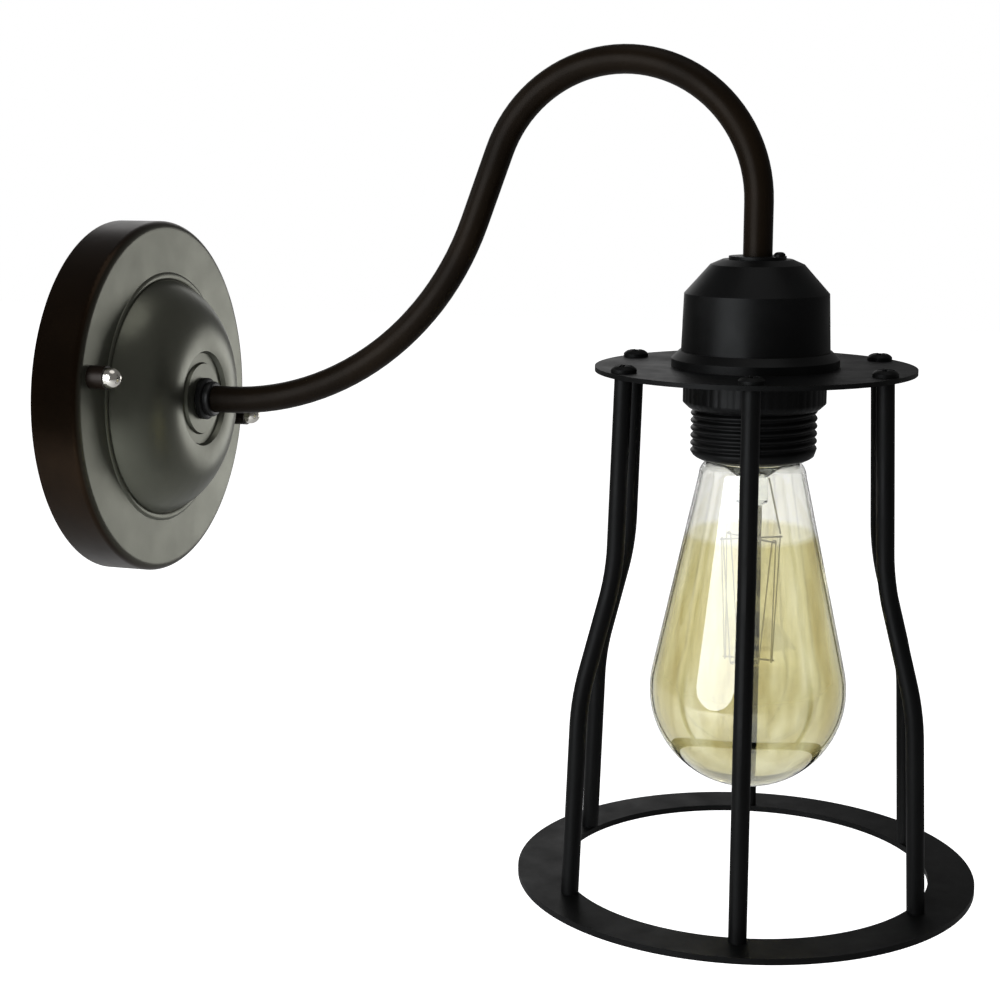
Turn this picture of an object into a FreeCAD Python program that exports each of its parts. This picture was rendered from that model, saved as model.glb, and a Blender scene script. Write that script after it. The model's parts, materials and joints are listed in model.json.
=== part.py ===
import FreeCAD, Part
import math
import os
import Sketcher

# Cage wall light: a spun wall plate on a strap, a gooseneck tube, an E27 lampholder that clamps a
# six-rod wire cage, and a clear filament bulb that screws out downwards through the cage ring.
#
# Frame, in millimetres: the wall is the plane Y = 0 and the light stands out along -Y, +Z is up.
# The origin is the middle of the wall plate's back. The cage and bulb share one upright axis.

Vector = FreeCAD.Vector

# name, value, what it is
SIZES = (
    ("plate_radius", 61.0, "wall plate, outside"),
    ("plate_wall", 1.2, "wall plate sheet"),
    ("rim_depth", 17.0, "wall to flat face"),
    ("rim_round", 2.4, "rounded rim edge"),
    ("dome_base", 41.0, "dome radius at the flat face"),
    ("dome_depth", 31.5, "wall to the crown of the dome"),
    ("dome_curve", 23.0, "radius of the dome's side"),
    ("groove_radius", 16.5, "outside of the pressed ring"),
    ("groove_drop", 1.5, "depth of the pressed ring"),
    ("seat_radius", 12.6, "raised seat round the tube"),
    ("seat_drop", 0.5, "seat below the crown"),
    ("fit_gap", 0.05, "screw in its own hole"),
    ("loose_gap", 0.3, "parts that slip past each other"),
    ("strap_length", 114.0, "wall strap"),
    ("strap_width", 22.0, "wall strap"),
    ("strap_thickness", 1.5, "wall strap"),
    ("strap_corner", 4.0, "wall strap corner"),
    ("strap_turn", 14.0, "strap and canopy screws about the arm"),
    ("wall_hole_reach", 35.0, "wall screw hole from the middle"),
    ("wall_hole_radius", 2.5, "wall screw hole"),
    ("stud_reach", 52.5, "canopy stud from the middle"),
    ("stud_radius", 2.0, "canopy stud"),
    ("stud_end", 2.4, "stud past the collar"),
    ("locknut_height", 3.2, "canopy stud locknut"),
    ("locknut_radius", 3.9, "canopy stud locknut, across corners"),
    ("sleeve_radius", 3.9, "canopy collar"),
    ("sleeve_length", 5.8, "canopy collar"),
    ("cap_nut_radius", 3.4, "dome nut"),
    ("cap_nut_skirt", 1.4, "dome nut below its dome"),
    ("cap_nut_bore", 2.8, "dome nut blind hole"),
    ("earth_reach", 24.0, "earth screw from the middle"),
    ("earth_radius", 1.9, "earth screw shank"),
    ("earth_head_radius", 3.6, "earth screw head"),
    ("earth_head_height", 2.2, "earth screw head"),
    ("washer_radius", 4.2, "earth washer"),
    ("washer_thickness", 0.8, "earth washer"),
    ("eyelet_thickness", 0.8, "earth lead eyelet"),
    ("crimp_radius", 1.6, "earth lead crimp"),
    ("crimp_length", 6.0, "earth lead crimp"),
    ("block_pitch", 8.0, "terminal block ways"),
    ("block_height", 17.0, "terminal block along its ways"),
    ("block_depth", 11.0, "terminal block off the strap"),
    ("barrel_depth", 5.4, "brass barrel axis above the strap"),
    ("barrel_radius", 2.5, "brass barrel"),
    ("barrel_bore", 1.5, "brass barrel"),
    ("barrel_length", 14.0, "brass barrel"),
    ("clamp_screw_radius", 1.1, "terminal screw shank"),
    ("clamp_head_radius", 1.8, "terminal screw head"),
    ("clamp_head_height", 2.0, "terminal screw head"),
    ("clamp_screw_reach", 4.2, "terminal screw from the block's middle"),
    ("fixing_radius", 1.3, "block fixing screw"),
    ("wire_radius", 0.95, "insulated wire"),
    ("wire_offset", 1.5, "wire beside the tube's axis"),
    ("wire_bend", 4.0, "wire bend"),
    ("wire_loop", 7.0, "wire below the block"),
    ("arm_radius", 4.6, "gooseneck tube"),
    ("arm_bore", 3.6, "gooseneck tube"),
    ("arm_inside", 8.0, "tube behind the dome sheet"),
    ("arm_straight", 41.1, "level run from the wall"),
    ("climb_bend", 96.3, "lower bend, tube axis"),
    ("crook_bend", 43.9, "upper bend, tube axis"),
    ("projection", 224.8, "wall to the cage axis"),
    ("arm_rise", 113.6, "arm axis to the crook's top"),
    ("tube_in_cap", 9.0, "tube end inside the lampholder cap"),
    ("collar_radius", 7.2, "collar on the wall plate"),
    ("collar_length", 4.6, "collar on the wall plate"),
    ("inner_washer_radius", 9.0, "washer behind the dome"),
    ("inner_washer_thickness", 1.0, "washer behind the dome"),
    ("arm_nut_radius", 8.1, "arm locknut across corners"),
    ("arm_nut_height", 3.0, "arm locknut"),
    ("disc_level", 18.4, "top face of the cage disc"),
    ("disc_margin", 4.9, "cage disc past the rods' circle"),
    ("disc_thickness", 1.5, "cage disc"),
    ("rod_top_reach", 45.6, "rod at the disc"),
    ("rod_knee_out", 2.4, "upper bend out from the rod's top"),
    ("rod_flare_in", 3.0, "lower bend in from the rod's foot"),
    ("rod_foot_inset", 2.85, "rod's axis in from the ring's inner edge"),
    ("rod_knee_drop", 63.0, "upper bend below the disc"),
    ("rod_flare_drop", 102.5, "lower bend below the disc"),
    ("rod_radius", 2.8, "cage rod"),
    ("rod_bend", 75.0, "cage rod bends"),
    ("rod_turn", 10.0, "first rod's angle about the cage axis"),
    ("rod_screw_radius", 1.5, "rod screw shank"),
    ("rod_screw_length", 8.0, "rod screw below the disc's top"),
    ("rod_head_radius", 4.3, "rod screw dome head"),
    ("rod_head_height", 2.9, "rod screw dome head"),
    ("cage_height", 166.1, "disc top to ring top"),
    ("ring_radius", 74.5, "cage ring, outside"),
    ("ring_width", 14.75, "cage ring, flat width"),
    ("ring_thickness", 2.0, "cage ring"),
    ("thread_radius", 20.0, "lampholder skirt over its thread"),
    ("skirt_bore", 17.9, "lampholder skirt inside"),
    ("skirt_above", 12.0, "skirt above the disc"),
    ("skirt_drop", 27.4, "skirt below the disc to its chin"),
    ("skirt_chin", 2.2, "height of the rounded chin"),
    ("skirt_edge", 1.2, "bevel above the chin"),
    ("chin_radius", 15.6, "skirt at its lowest edge"),
    ("mouth_radius", 14.6, "skirt's mouth"),
    ("lip_height", 5.6, "inward lip of the skirt"),
    ("upper_ring_radius", 26.4, "upper shade ring flange"),
    ("upper_ring_flange", 2.6, "upper shade ring flange"),
    ("upper_ring_height", 5.0, "upper shade ring"),
    ("lower_ring_radius", 22.6, "lower shade ring"),
    ("lower_ring_height", 11.6, "lower shade ring"),
    ("lower_ring_lip", 1.8, "lower shade ring's edge"),
    ("cap_radius", 23.4, "lampholder cap at its foot"),
    ("cap_taper", 0.7, "cap's side leans in"),
    ("cap_wall", 2.2, "lampholder cap"),
    ("cap_shoulder", 23.0, "top of the cap's side above the disc"),
    ("cap_crown_radius", 14.7, "cap at the top of its slope"),
    ("cap_crown_height", 32.0, "top of the cap's slope above the disc"),
    ("cap_flat_radius", 11.0, "cap's flat top"),
    ("cap_height", 33.6, "cap's top above the disc"),
    ("cap_boss_radius", 9.0, "low boss round the tube"),
    ("cap_boss_height", 1.0, "low boss round the tube"),
    ("lock_screw_reach", 6.9, "cap lock screw from the axis"),
    ("lock_screw_radius", 1.2, "cap lock screw shank"),
    ("lock_head_radius", 1.8, "cap lock screw head"),
    ("lock_head_height", 2.2, "cap lock screw head"),
    ("insulator_radius", 17.7, "lampholder insulator"),
    ("insulator_bore", 14.15, "lampholder insulator round the shell"),
    ("insulator_top", 9.0, "insulator's top above the disc"),
    ("insulator_floor", 4.0, "insulator's underside above the disc"),
    ("shell_radius", 14.0, "lampholder screw shell, outside"),
    ("shell_wall", 0.4, "lampholder screw shell"),
    ("shell_length", 25.0, "lampholder screw shell"),
    ("contact_radius", 4.0, "centre contact strip"),
    ("contact_thickness", 0.5, "centre contact strip"),
    ("post_reach", 8.5, "terminal post from the axis"),
    ("post_radius", 3.0, "terminal post"),
    ("post_height", 7.0, "terminal post"),
    ("post_bore", 1.2, "terminal post"),
    ("post_floor", 2.3, "floor of the post's bore above its foot"),
    ("post_screw_rise", 4.9, "post screw above the post's foot"),
    ("post_screw_radius", 1.0, "terminal post screw"),
    ("post_head_radius", 1.8, "terminal post screw head"),
    ("bulb_radius", 31.7, "bulb at its widest"),
    ("bulb_drop", 105.2, "disc top to the bulb's centre of curve"),
    ("bulb_flank", 12.3, "slope of the bulb's side, degrees"),
    ("glass_wall", 0.8, "bulb glass"),
    ("neck_radius", 14.0, "bulb glass in its cap"),
    ("neck_top", 25.6, "glass edge below the disc"),
    ("neck_shoulder", 30.0, "neck's straight end below the disc"),
    ("shoulder_end", 34.5, "neck's shoulder end below the disc"),
    ("shoulder_curve", 5.0, "neck's rounded shoulder"),
    ("cap_shell_radius", 13.2, "bulb's metal cap"),
    ("cap_shell_wall", 0.3, "bulb's metal cap"),
    ("cap_shell_length", 22.0, "bulb's metal cap"),
    ("cone_radius", 5.0, "bulb insulator's small end"),
    ("cone_height", 3.4, "bulb insulator"),
    ("tip_radius", 4.6, "bulb tip contact"),
    ("tip_end_radius", 3.2, "bulb tip contact's flat end"),
    ("tip_height", 1.2, "bulb tip contact"),
    ("stem_radius", 5.0, "glass stem"),
    ("stem_drop", 46.0, "stem's end below the disc"),
    ("lead_drop", 9.6, "lead wires leave the stem below the glass edge"),
    ("mast_radius", 1.1, "glass mast"),
    ("mast_drop", 96.0, "mast's end below the disc"),
    ("hook_top_drop", 55.3, "upper hooks below the disc"),
    ("hook_top_reach", 10.5, "upper hooks from the axis"),
    ("hook_low_reach", 8.5, "lower hooks from the axis"),
    ("hook_radius", 0.3, "support wire"),
    ("filament_radius", 0.22, "filament"),
    ("filament_ease", 0.9, "filament outside its hooks"),
    ("filament_bend", 0.72, "filament's turn over a hook"),
)

ROD_COUNT = 6
UPPER_HOOKS = 6
LOWER_HOOKS = 5
BLOCK_WAYS = 3

doc = FreeCAD.newDocument("CageWallLight")
sheet = doc.addObject("Spreadsheet::Sheet", "Sizes")
PARTS = []


class Term:
    """A size with its number and its formula, so that what it drives gets both."""

    def __init__(self, number, formula):
        self.number = number
        self.formula = formula

    def __add__(self, other):
        other = term(other)
        return Term(self.number + other.number, f"({self.formula} + {other.formula})")

    def __sub__(self, other):
        other = term(other)
        return Term(self.number - other.number, f"({self.formula} - {other.formula})")

    def __mul__(self, other):
        other = term(other)
        return Term(self.number * other.number, f"({self.formula} * {other.formula})")

    def __truediv__(self, other):
        other = term(other)
        return Term(self.number / other.number, f"({self.formula} / {other.formula})")

    def __neg__(self):
        return Term(-self.number, f"(0 - {self.formula})")

    __radd__ = __add__


def term(value):
    """A plain number as a term; a term as it is."""
    if isinstance(value, Term):
        return value
    return Term(float(value), f"{float(value):.6g}")


def sine(angle):
    return Term(math.sin(math.radians(angle.number)), f"sin({angle.formula})")


def cosine(angle):
    return Term(math.cos(math.radians(angle.number)), f"cos({angle.formula})")


class SheetSizes:
    """Reads a named cell as a term."""

    def __getattr__(self, name):
        value = sheet.get(name)
        return Term(float(getattr(value, "Value", value)), f"Sizes.{name}")


size = SheetSizes()


def fill_sheet():
    """Writes the driving sizes, then the few that are worked out from them."""
    for row, (name, value, meaning) in enumerate(SIZES, start=2):
        sheet.set(f"A{row}", meaning)
        sheet.set(f"B{row}", f"{value}")
        sheet.setAlias(f"B{row}", name)
    sheet.set("A1", "driving sizes, mm and degrees")
    derived = (
        ("crook_across", "=projection - crook_bend - arm_straight"),
        ("crook_above", "=arm_rise - crook_bend - climb_bend"),
        ("crook_span", "=sqrt(crook_across * crook_across + crook_above * crook_above)"),
        ("climb_angle", "=atan(crook_above / crook_across) + asin((climb_bend + crook_bend) / crook_span)"),
        ("crown_floor", "=dome_depth - groove_drop - plate_wall"),
        ("seat_depth", "=dome_depth - seat_drop"),
        ("arm_end", "=dome_depth - groove_drop - plate_wall - arm_inside"),
        ("ring_level", "=disc_level - cage_height"),
        ("cap_top", "=disc_level + cap_height + cap_boss_height"),
        ("disc_radius", "=rod_top_reach + disc_margin"),
        ("ring_bore", "=ring_radius - ring_width"),
        ("rod_foot_reach", "=ring_radius - ring_width + rod_foot_inset"),
    )
    for row, (name, formula) in enumerate(derived, start=2):
        sheet.set(f"D{row}", formula)
        sheet.setAlias(f"D{row}", name)
    doc.recompute()


def bind(item, **terms):
    """Ties an object's properties to the sheet."""
    for name, value in terms.items():
        item.setExpression(name, term(value).formula)


def place(item, x=0, y=0, z=0, axis=None, angle=0):
    """Places a sub-part by formulas, turned about one axis."""
    if axis is not None:
        item.Placement = FreeCAD.Placement(Vector(), FreeCAD.Rotation(axis, term(angle).number))
        item.setExpression("Placement.Rotation.Angle", term(angle).formula)
    item.setExpression("Placement.Base.x", term(x).formula)
    item.setExpression("Placement.Base.y", term(y).formula)
    item.setExpression("Placement.Base.z", term(z).formula)


def new_body(name):
    body = doc.addObject("PartDesign::Body", name)
    body.Label = name
    PARTS.append(body)
    return body


def new_sketch(body, plane, name):
    """A sketch on one of the body's own origin planes."""
    sketch = body.newObject("Sketcher::SketchObject", name)
    support = next(item for item in body.Origin.OriginFeatures if item.Role == plane)
    sketch.AttachmentSupport = [(support, "")]
    sketch.MapMode = "FlatFace"
    return sketch


def fix_point(sketch, edge, end, point):
    """Holds one end of an edge at a point of two formulas."""
    for kind, value in (("DistanceX", point[0]), ("DistanceY", point[1])):
        value = term(value)
        index = sketch.addConstraint(Sketcher.Constraint(kind, -1, 1, edge, end, value.number))
        sketch.setExpression(f"Constraints[{index}]", value.formula)


def arc_middle(start, finish, radius, side):
    """The middle of the short arc; side +1 has its centre on the left of start to finish."""
    chord = finish - start
    half = chord.Length / 2
    left = Vector(-chord.y, chord.x, 0).normalize()
    sag = radius - math.sqrt(max(radius * radius - half * half, 0.0))
    return (start + finish) * 0.5 - left * (side * sag)


def draw(sketch, start, steps, closed=True):
    """Draws lines (x, y) and arcs (x, y, radius, side) from start, all held by formulas."""
    here = start
    first = None
    steps = list(steps)
    if closed:
        steps.append(start)
    for number, step in enumerate(steps):
        a = Vector(term(here[0]).number, term(here[1]).number, 0)
        b = Vector(term(step[0]).number, term(step[1]).number, 0)
        if len(step) == 2:
            edge = sketch.addGeometry(Part.LineSegment(a, b))
            head, tail = 1, 2
        else:
            radius = term(step[2])
            middle = arc_middle(a, b, radius.number, step[3])
            edge = sketch.addGeometry(Part.Arc(a, middle, b))
            begins = (sketch.getPoint(edge, 1) - a).Length < 1e-6
            head, tail = (1, 2) if begins else (2, 1)
            index = sketch.addConstraint(Sketcher.Constraint("Radius", edge, radius.number))
            sketch.setExpression(f"Constraints[{index}]", radius.formula)
        if first is None:
            first = (edge, head)
            fix_point(sketch, edge, head, here)
        else:
            sketch.addConstraint(Sketcher.Constraint("Coincident", last[0], last[1], edge, head))
        if closed and number == len(steps) - 1:
            sketch.addConstraint(Sketcher.Constraint("Coincident", edge, tail, first[0], first[1]))
        else:
            fix_point(sketch, edge, tail, step)
        last = (edge, tail)
        here = step


def draw_circle(sketch, x, y, radius):
    x, y, radius = term(x), term(y), term(radius)
    edge = sketch.addGeometry(Part.Circle(Vector(x.number, y.number, 0), Vector(0, 0, 1), radius.number))
    fix_point(sketch, edge, 3, (x, y))
    index = sketch.addConstraint(Sketcher.Constraint("Radius", edge, radius.number))
    sketch.setExpression(f"Constraints[{index}]", radius.formula)


def revolve(body, plane, start, steps):
    """A turned piece: the profile's second coordinate runs along the axis."""
    sketch = new_sketch(body, plane, "Profile")
    draw(sketch, start, steps)
    turned = body.newObject("PartDesign::Revolution", "Turned")
    turned.Profile = sketch
    turned.ReferenceAxis = (sketch, ["V_Axis"])
    turned.Angle = 360
    sketch.Visibility = False
    return turned


def turned_upright(name, start, steps):
    """A turned piece on the cage axis; heights are taken from the disc's top."""
    body = new_body(name)
    revolve(body, "XZ_Plane", start, steps)
    place(body, y=-size.projection, z=size.disc_level)
    return body


def tube_profile(inside, outside, low, high):
    """Start and steps of a plain tube's half section."""
    return (inside, low), [(outside, low), (outside, high), (inside, high)]


def drill(body, plane, holes, reach):
    """Bores through the body on both sides of a plane; holes are (x, y, radius)."""
    sketch = new_sketch(body, plane, "Holes")
    for x, y, radius in holes:
        draw_circle(sketch, x, y, radius)
    before = body.Shape.Volume if body.Shape.isValid() else 0.0
    pocket = body.newObject("PartDesign::Pocket", "Bores")
    pocket.Profile = sketch
    pocket.Midplane = True
    bind(pocket, Length=reach * 2)
    doc.recompute()
    if body.Shape.Volume > before - 0.01:
        raise RuntimeError(f"{body.Label}: the bores cut nothing")
    return pocket


def axis_line(sketch, top, foot):
    """A construction line for a profile to be turned about."""
    ends = [Vector(term(x).number, term(y).number, 0) for x, y in (top, foot)]
    line = sketch.addGeometry(Part.LineSegment(*ends), True)
    fix_point(sketch, line, 1, top)
    fix_point(sketch, line, 2, foot)


def draw_hexagon(sketch, x, corner):
    """A hexagon about (x, 0) with corners along the first axis."""
    across = corner * math.sqrt(0.75)
    draw(sketch, (x + corner, 0), [
        (x + corner / 2, across),
        (x - corner / 2, across),
        (x - corner, 0),
        (x - corner / 2, -across),
        (x + corner / 2, -across),
    ])


# ---------------------------------------------------------------- wall side

def wall_plate():
    body = new_body("wall_plate")
    inner_base = size.dome_base - size.plate_wall
    inner_crown = size.groove_radius - size.plate_wall
    hole = size.arm_radius + size.loose_gap
    outer = [
        (size.plate_radius, -(size.rim_depth - size.rim_round)),
        (size.plate_radius - size.rim_round, -size.rim_depth, size.rim_round, -1),
        (size.dome_base, -size.rim_depth),
        (size.groove_radius, -size.dome_depth, size.dome_curve, -1),
        (size.groove_radius - size.groove_drop / 2, -(size.dome_depth - size.groove_drop)),
        (size.seat_radius, -(size.dome_depth - size.groove_drop)),
        (size.seat_radius - size.seat_drop, -size.seat_depth),
        (hole, -size.seat_depth),
    ]
    inner = [
        (hole, -size.crown_floor),
        (inner_crown, -size.crown_floor),
        (inner_base, -(size.rim_depth - size.plate_wall), size.dome_curve, 1),
        (size.plate_radius - size.plate_wall, -(size.rim_depth - size.plate_wall)),
        (size.plate_radius - size.plate_wall, 0),
    ]
    revolve(body, "XY_Plane", (size.plate_radius, 0), outer + inner)
    doc.recompute()
    stud_hole = size.stud_radius + size.loose_gap
    holes = [(size.stud_reach * side, 0, stud_hole) for side in (1, -1)]
    drill(body, "XZ_Plane", holes, size.dome_depth)
    place(body, axis=Vector(0, 1, 0), angle=size.strap_turn)


def mounting_strap():
    body = new_body("mounting_strap")
    sketch = new_sketch(body, "XZ_Plane", "Outline")
    far = size.strap_length / 2
    half = size.strap_width / 2
    corner = size.strap_corner
    draw(sketch, (-far, corner - half), [
        (corner - far, -half, corner, 1),
        (far - corner, -half),
        (far, corner - half, corner, 1),
        (far, half - corner),
        (far - corner, half, corner, 1),
        (corner - far, half),
        (-far, half - corner, corner, 1),
    ])
    stud_hole = size.stud_radius + size.fit_gap
    for side in (1, -1):
        draw_circle(sketch, size.stud_reach * side, 0, stud_hole)
        draw_circle(sketch, size.wall_hole_reach * side, 0, size.wall_hole_radius)
    draw_circle(sketch, -size.earth_reach, 0, size.earth_radius + size.fit_gap)
    draw_circle(sketch, size.block_pitch / 2, 0, size.fixing_radius + size.fit_gap)
    pad = body.newObject("PartDesign::Pad", "Sheet")
    pad.Profile = sketch
    bind(pad, Length=size.strap_thickness)
    place(body, axis=Vector(0, 1, 0), angle=size.strap_turn)


def stud_pair(name, start, steps):
    """Two like pieces on the stud line, turned about the studs' axes."""
    body = new_body(name)
    for side in (1, -1):
        sketch = new_sketch(body, "XY_Plane", "Profile")
        shifted = [start] + list(steps)
        points = [(size.stud_reach * side + step[0], step[1]) + tuple(step[2:]) for step in shifted]
        draw(sketch, points[0], points[1:])
        axis_line(sketch, (size.stud_reach * side, 0), (size.stud_reach * side, -size.rim_depth))
        turned = body.newObject("PartDesign::Revolution", "Turned")
        turned.Profile = sketch
        turned.ReferenceAxis = (sketch, ["Axis0"])
        turned.Angle = 360
        doc.recompute()
    place(body, axis=Vector(0, 1, 0), angle=size.strap_turn)


def canopy_fixings():
    """Studs in the strap, and the collars and dome nuts that hold the plate on them."""
    collar_end = size.rim_depth + size.sleeve_length
    tip = collar_end + size.stud_end
    stud_pair("canopy_studs", (0, 0), [(size.stud_radius, 0), (size.stud_radius, -tip), (0, -tip)])
    bore = size.stud_radius + size.fit_gap
    body = new_body("stud_locknuts")
    sketch = new_sketch(body, "XZ_Plane", "Hexagons")
    for side in (1, -1):
        draw_hexagon(sketch, size.stud_reach * side, size.locknut_radius)
        draw_circle(sketch, size.stud_reach * side, 0, bore)
    pad = body.newObject("PartDesign::Pad", "Nuts")
    pad.Profile = sketch
    bind(pad, Length=size.locknut_height)
    turn = size.strap_turn
    place(body, y=-size.strap_thickness, axis=Vector(0, 1, 0), angle=turn)
    start, steps = tube_profile(size.stud_radius + size.loose_gap, size.sleeve_radius, -collar_end,
                                -size.rim_depth)
    stud_pair("canopy_collars", start, steps)
    dome_start = collar_end + size.cap_nut_skirt
    dome_end = dome_start + size.cap_nut_radius
    stud_pair("cap_nuts", (bore, -collar_end), [
        (size.cap_nut_radius, -collar_end),
        (size.cap_nut_radius, -dome_start),
        (0, -dome_end, size.cap_nut_radius, -1),
        (0, -(collar_end + size.cap_nut_bore)),
        (bore, -(collar_end + size.cap_nut_bore)),
    ])


def wall_turned(name, start, steps, x=0):
    """A turned piece on an axis square to the wall, at x along the strap."""
    body = new_body(name)
    revolve(body, "XY_Plane", start, steps)
    turn = size.strap_turn
    place(body, x=cosine(turn) * x, z=-(sine(turn) * x), axis=Vector(0, 1, 0), angle=turn)
    return body


def earth_fixing():
    """The earth screw with its washer and the lead's eyelet, stacked on the strap."""
    shank = size.earth_radius
    bore = shank + size.fit_gap
    eyelet_face = size.strap_thickness + size.eyelet_thickness
    washer_face = eyelet_face + size.washer_thickness
    head_face = washer_face + size.earth_head_height
    wall_turned("earth_screw", (0, 0), [
        (shank, 0),
        (shank, -washer_face),
        (size.earth_head_radius, -washer_face),
        (size.earth_head_radius, -(head_face - size.washer_thickness)),
        (size.earth_head_radius - size.washer_thickness, -head_face),
        (0, -head_face),
    ], x=-size.earth_reach)
    start, steps = tube_profile(bore, size.washer_radius, -washer_face, -eyelet_face)
    wall_turned("earth_washer", start, steps, x=-size.earth_reach)
    start, steps = tube_profile(bore, size.washer_radius, -eyelet_face, -size.strap_thickness)
    wall_turned("earth_eyelet", start, steps, x=-size.earth_reach)


def cylinder(name, radius, height, axis="Z"):
    """A cylinder primitive from its centre of base, along Z or along -Y."""
    item = doc.addObject("Part::Cylinder", name)
    bind(item, Radius=radius, Height=height)
    if axis == "Y":
        item.Placement = FreeCAD.Placement(Vector(), FreeCAD.Rotation(Vector(1, 0, 0), 90))
    return item


def move(item, x=0, y=0, z=0):
    item.setExpression("Placement.Base.x", term(x).formula)
    item.setExpression("Placement.Base.y", term(y).formula)
    item.setExpression("Placement.Base.z", term(z).formula)
    return item


def cut(name, base, tools):
    """Base less its tools, as a sub-part."""
    joined = doc.addObject("Part::MultiFuse", f"{name}_tools")
    joined.Shapes = tools
    item = doc.addObject("Part::Cut", name)
    item.Base = base
    item.Tool = joined
    item.Label = name
    PARTS.append(item)
    return item


def group(name, items):
    """Separate solids that share one node."""
    item = doc.addObject("Part::Compound", name)
    item.Links = items
    item.Label = name
    PARTS.append(item)
    return item


def way_places():
    """The middle of each way, along the strap."""
    return [size.block_pitch * (way - (BLOCK_WAYS - 1) / 2) for way in range(BLOCK_WAYS)]


def terminal_block():
    """A three-way block on the strap: brass barrels in a moulded body, two screws to each."""
    width = size.block_pitch * BLOCK_WAYS
    front = size.strap_thickness + size.block_depth
    axis_depth = size.strap_thickness + size.barrel_depth
    housing = doc.addObject("Part::Box", "block_housing")
    bind(housing, Length=width, Width=size.block_depth, Height=size.block_height)
    move(housing, x=-width / 2, y=-front, z=-size.block_height / 2)
    bores, barrels, screws = [], [], []
    for x in way_places():
        bore = cylinder("block_bore", size.barrel_radius + size.fit_gap, size.block_height * 2)
        bores.append(move(bore, x=x, y=-axis_depth, z=-size.block_height))
        shell = cylinder("barrel_shell", size.barrel_radius, size.barrel_length)
        move(shell, x=x, y=-axis_depth, z=-size.barrel_length / 2)
        hollow = cylinder("barrel_hollow", size.barrel_bore, size.block_height * 2)
        move(hollow, x=x, y=-axis_depth, z=-size.block_height)
        taps = [hollow]
        for side in (1, -1):
            height = size.clamp_screw_reach * side
            well = cylinder("screw_well", size.clamp_head_radius + size.loose_gap, size.block_depth, "Y")
            bores.append(move(well, x=x, y=-axis_depth, z=height))
            tap = cylinder("screw_tap", size.clamp_screw_radius + size.fit_gap, size.block_depth, "Y")
            taps.append(move(tap, x=x, y=-axis_depth, z=height))
            tip = axis_depth + size.wire_radius + size.fit_gap
            under_head = axis_depth + size.barrel_radius + size.fit_gap
            shank = cylinder("clamp_shank", size.clamp_screw_radius, under_head - tip + size.fit_gap, "Y")
            move(shank, x=x, y=-tip, z=height)
            head = cylinder("clamp_head", size.clamp_head_radius, size.clamp_head_height, "Y")
            move(head, x=x, y=-under_head, z=height)
            screw = doc.addObject("Part::Fuse", "clamp_screw")
            screw.Base = shank
            screw.Tool = head
            screws.append(screw)
        joined = doc.addObject("Part::MultiFuse", "barrel_taps")
        joined.Shapes = taps
        barrel = doc.addObject("Part::Cut", "barrel")
        barrel.Base = shell
        barrel.Tool = joined
        barrels.append(barrel)
    fixing_x = size.block_pitch / 2
    fixing_hole = cylinder("fixing_hole", size.fixing_radius + size.fit_gap, front * 2, "Y")
    bores.append(move(fixing_hole, x=fixing_x, y=front, z=0))
    turn = size.strap_turn
    for item in (cut("terminal_block", housing, bores), group("terminal_barrels", barrels),
                 group("terminal_screws", screws)):
        place(item, axis=Vector(0, 1, 0), angle=turn)
    head_top = front + size.clamp_head_height / 2
    wall_turned("block_screw", (0, 0), [
        (size.fixing_radius, 0),
        (size.fixing_radius, -front),
        (size.clamp_head_radius, -front),
        (size.clamp_head_radius, -head_top),
        (0, -head_top),
    ], x=fixing_x)


# ---------------------------------------------------------------- arm

def gooseneck_arm():
    """A tube bent twice in one upright plane: a long climb, then a tight crook down to the cage."""
    body = new_body("gooseneck_arm")
    climb = size.climb_angle
    centre_y = size.projection - size.crook_bend
    centre_z = size.arm_rise - size.crook_bend
    tube_end = size.cap_top - size.tube_in_cap
    steps = [
        (-size.arm_straight, 0),
        (-(size.arm_straight + size.climb_bend * sine(climb)),
         size.climb_bend - size.climb_bend * cosine(climb), size.climb_bend, -1),
        (-(centre_y - size.crook_bend * sine(climb)), centre_z + size.crook_bend * cosine(climb)),
        (-centre_y, size.arm_rise, size.crook_bend, 1),
        (-size.projection, centre_z, size.crook_bend, 1),
        (-size.projection, tube_end),
    ]
    spine = new_sketch(body, "YZ_Plane", "Spine")
    draw(spine, (-size.arm_end, 0), steps, closed=False)
    section = new_sketch(body, "XZ_Plane", "Section")
    section.AttachmentOffset = FreeCAD.Placement(Vector(0, 0, size.arm_end.number), FreeCAD.Rotation())
    section.setExpression("AttachmentOffset.Base.z", size.arm_end.formula)
    draw_circle(section, 0, 0, size.arm_radius)
    draw_circle(section, 0, 0, size.arm_bore)
    tube = body.newObject("PartDesign::AdditivePipe", "Tube")
    tube.Profile = section
    tube.Spine = spine
    doc.recompute()


def arm_fixings():
    """What clamps the tube to the dome: a collar outside, a washer and a locknut inside."""
    bore = size.arm_radius + size.fit_gap
    start, steps = tube_profile(bore, size.collar_radius, -(size.seat_depth + size.collar_length),
                                -size.seat_depth)
    body = new_body("arm_collar")
    revolve(body, "XY_Plane", start, steps)
    washer_back = size.crown_floor - size.inner_washer_thickness
    start, steps = tube_profile(bore, size.inner_washer_radius, -size.crown_floor, -washer_back)
    body = new_body("arm_washer")
    revolve(body, "XY_Plane", start, steps)
    body = new_body("arm_locknut")
    sketch = new_sketch(body, "XZ_Plane", "Hexagon")
    draw_hexagon(sketch, term(0), size.arm_nut_radius)
    draw_circle(sketch, 0, 0, bore)
    pad = body.newObject("PartDesign::Pad", "Nut")
    pad.Profile = sketch
    bind(pad, Length=size.arm_nut_height)
    place(body, y=size.arm_nut_height - washer_back)


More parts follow.
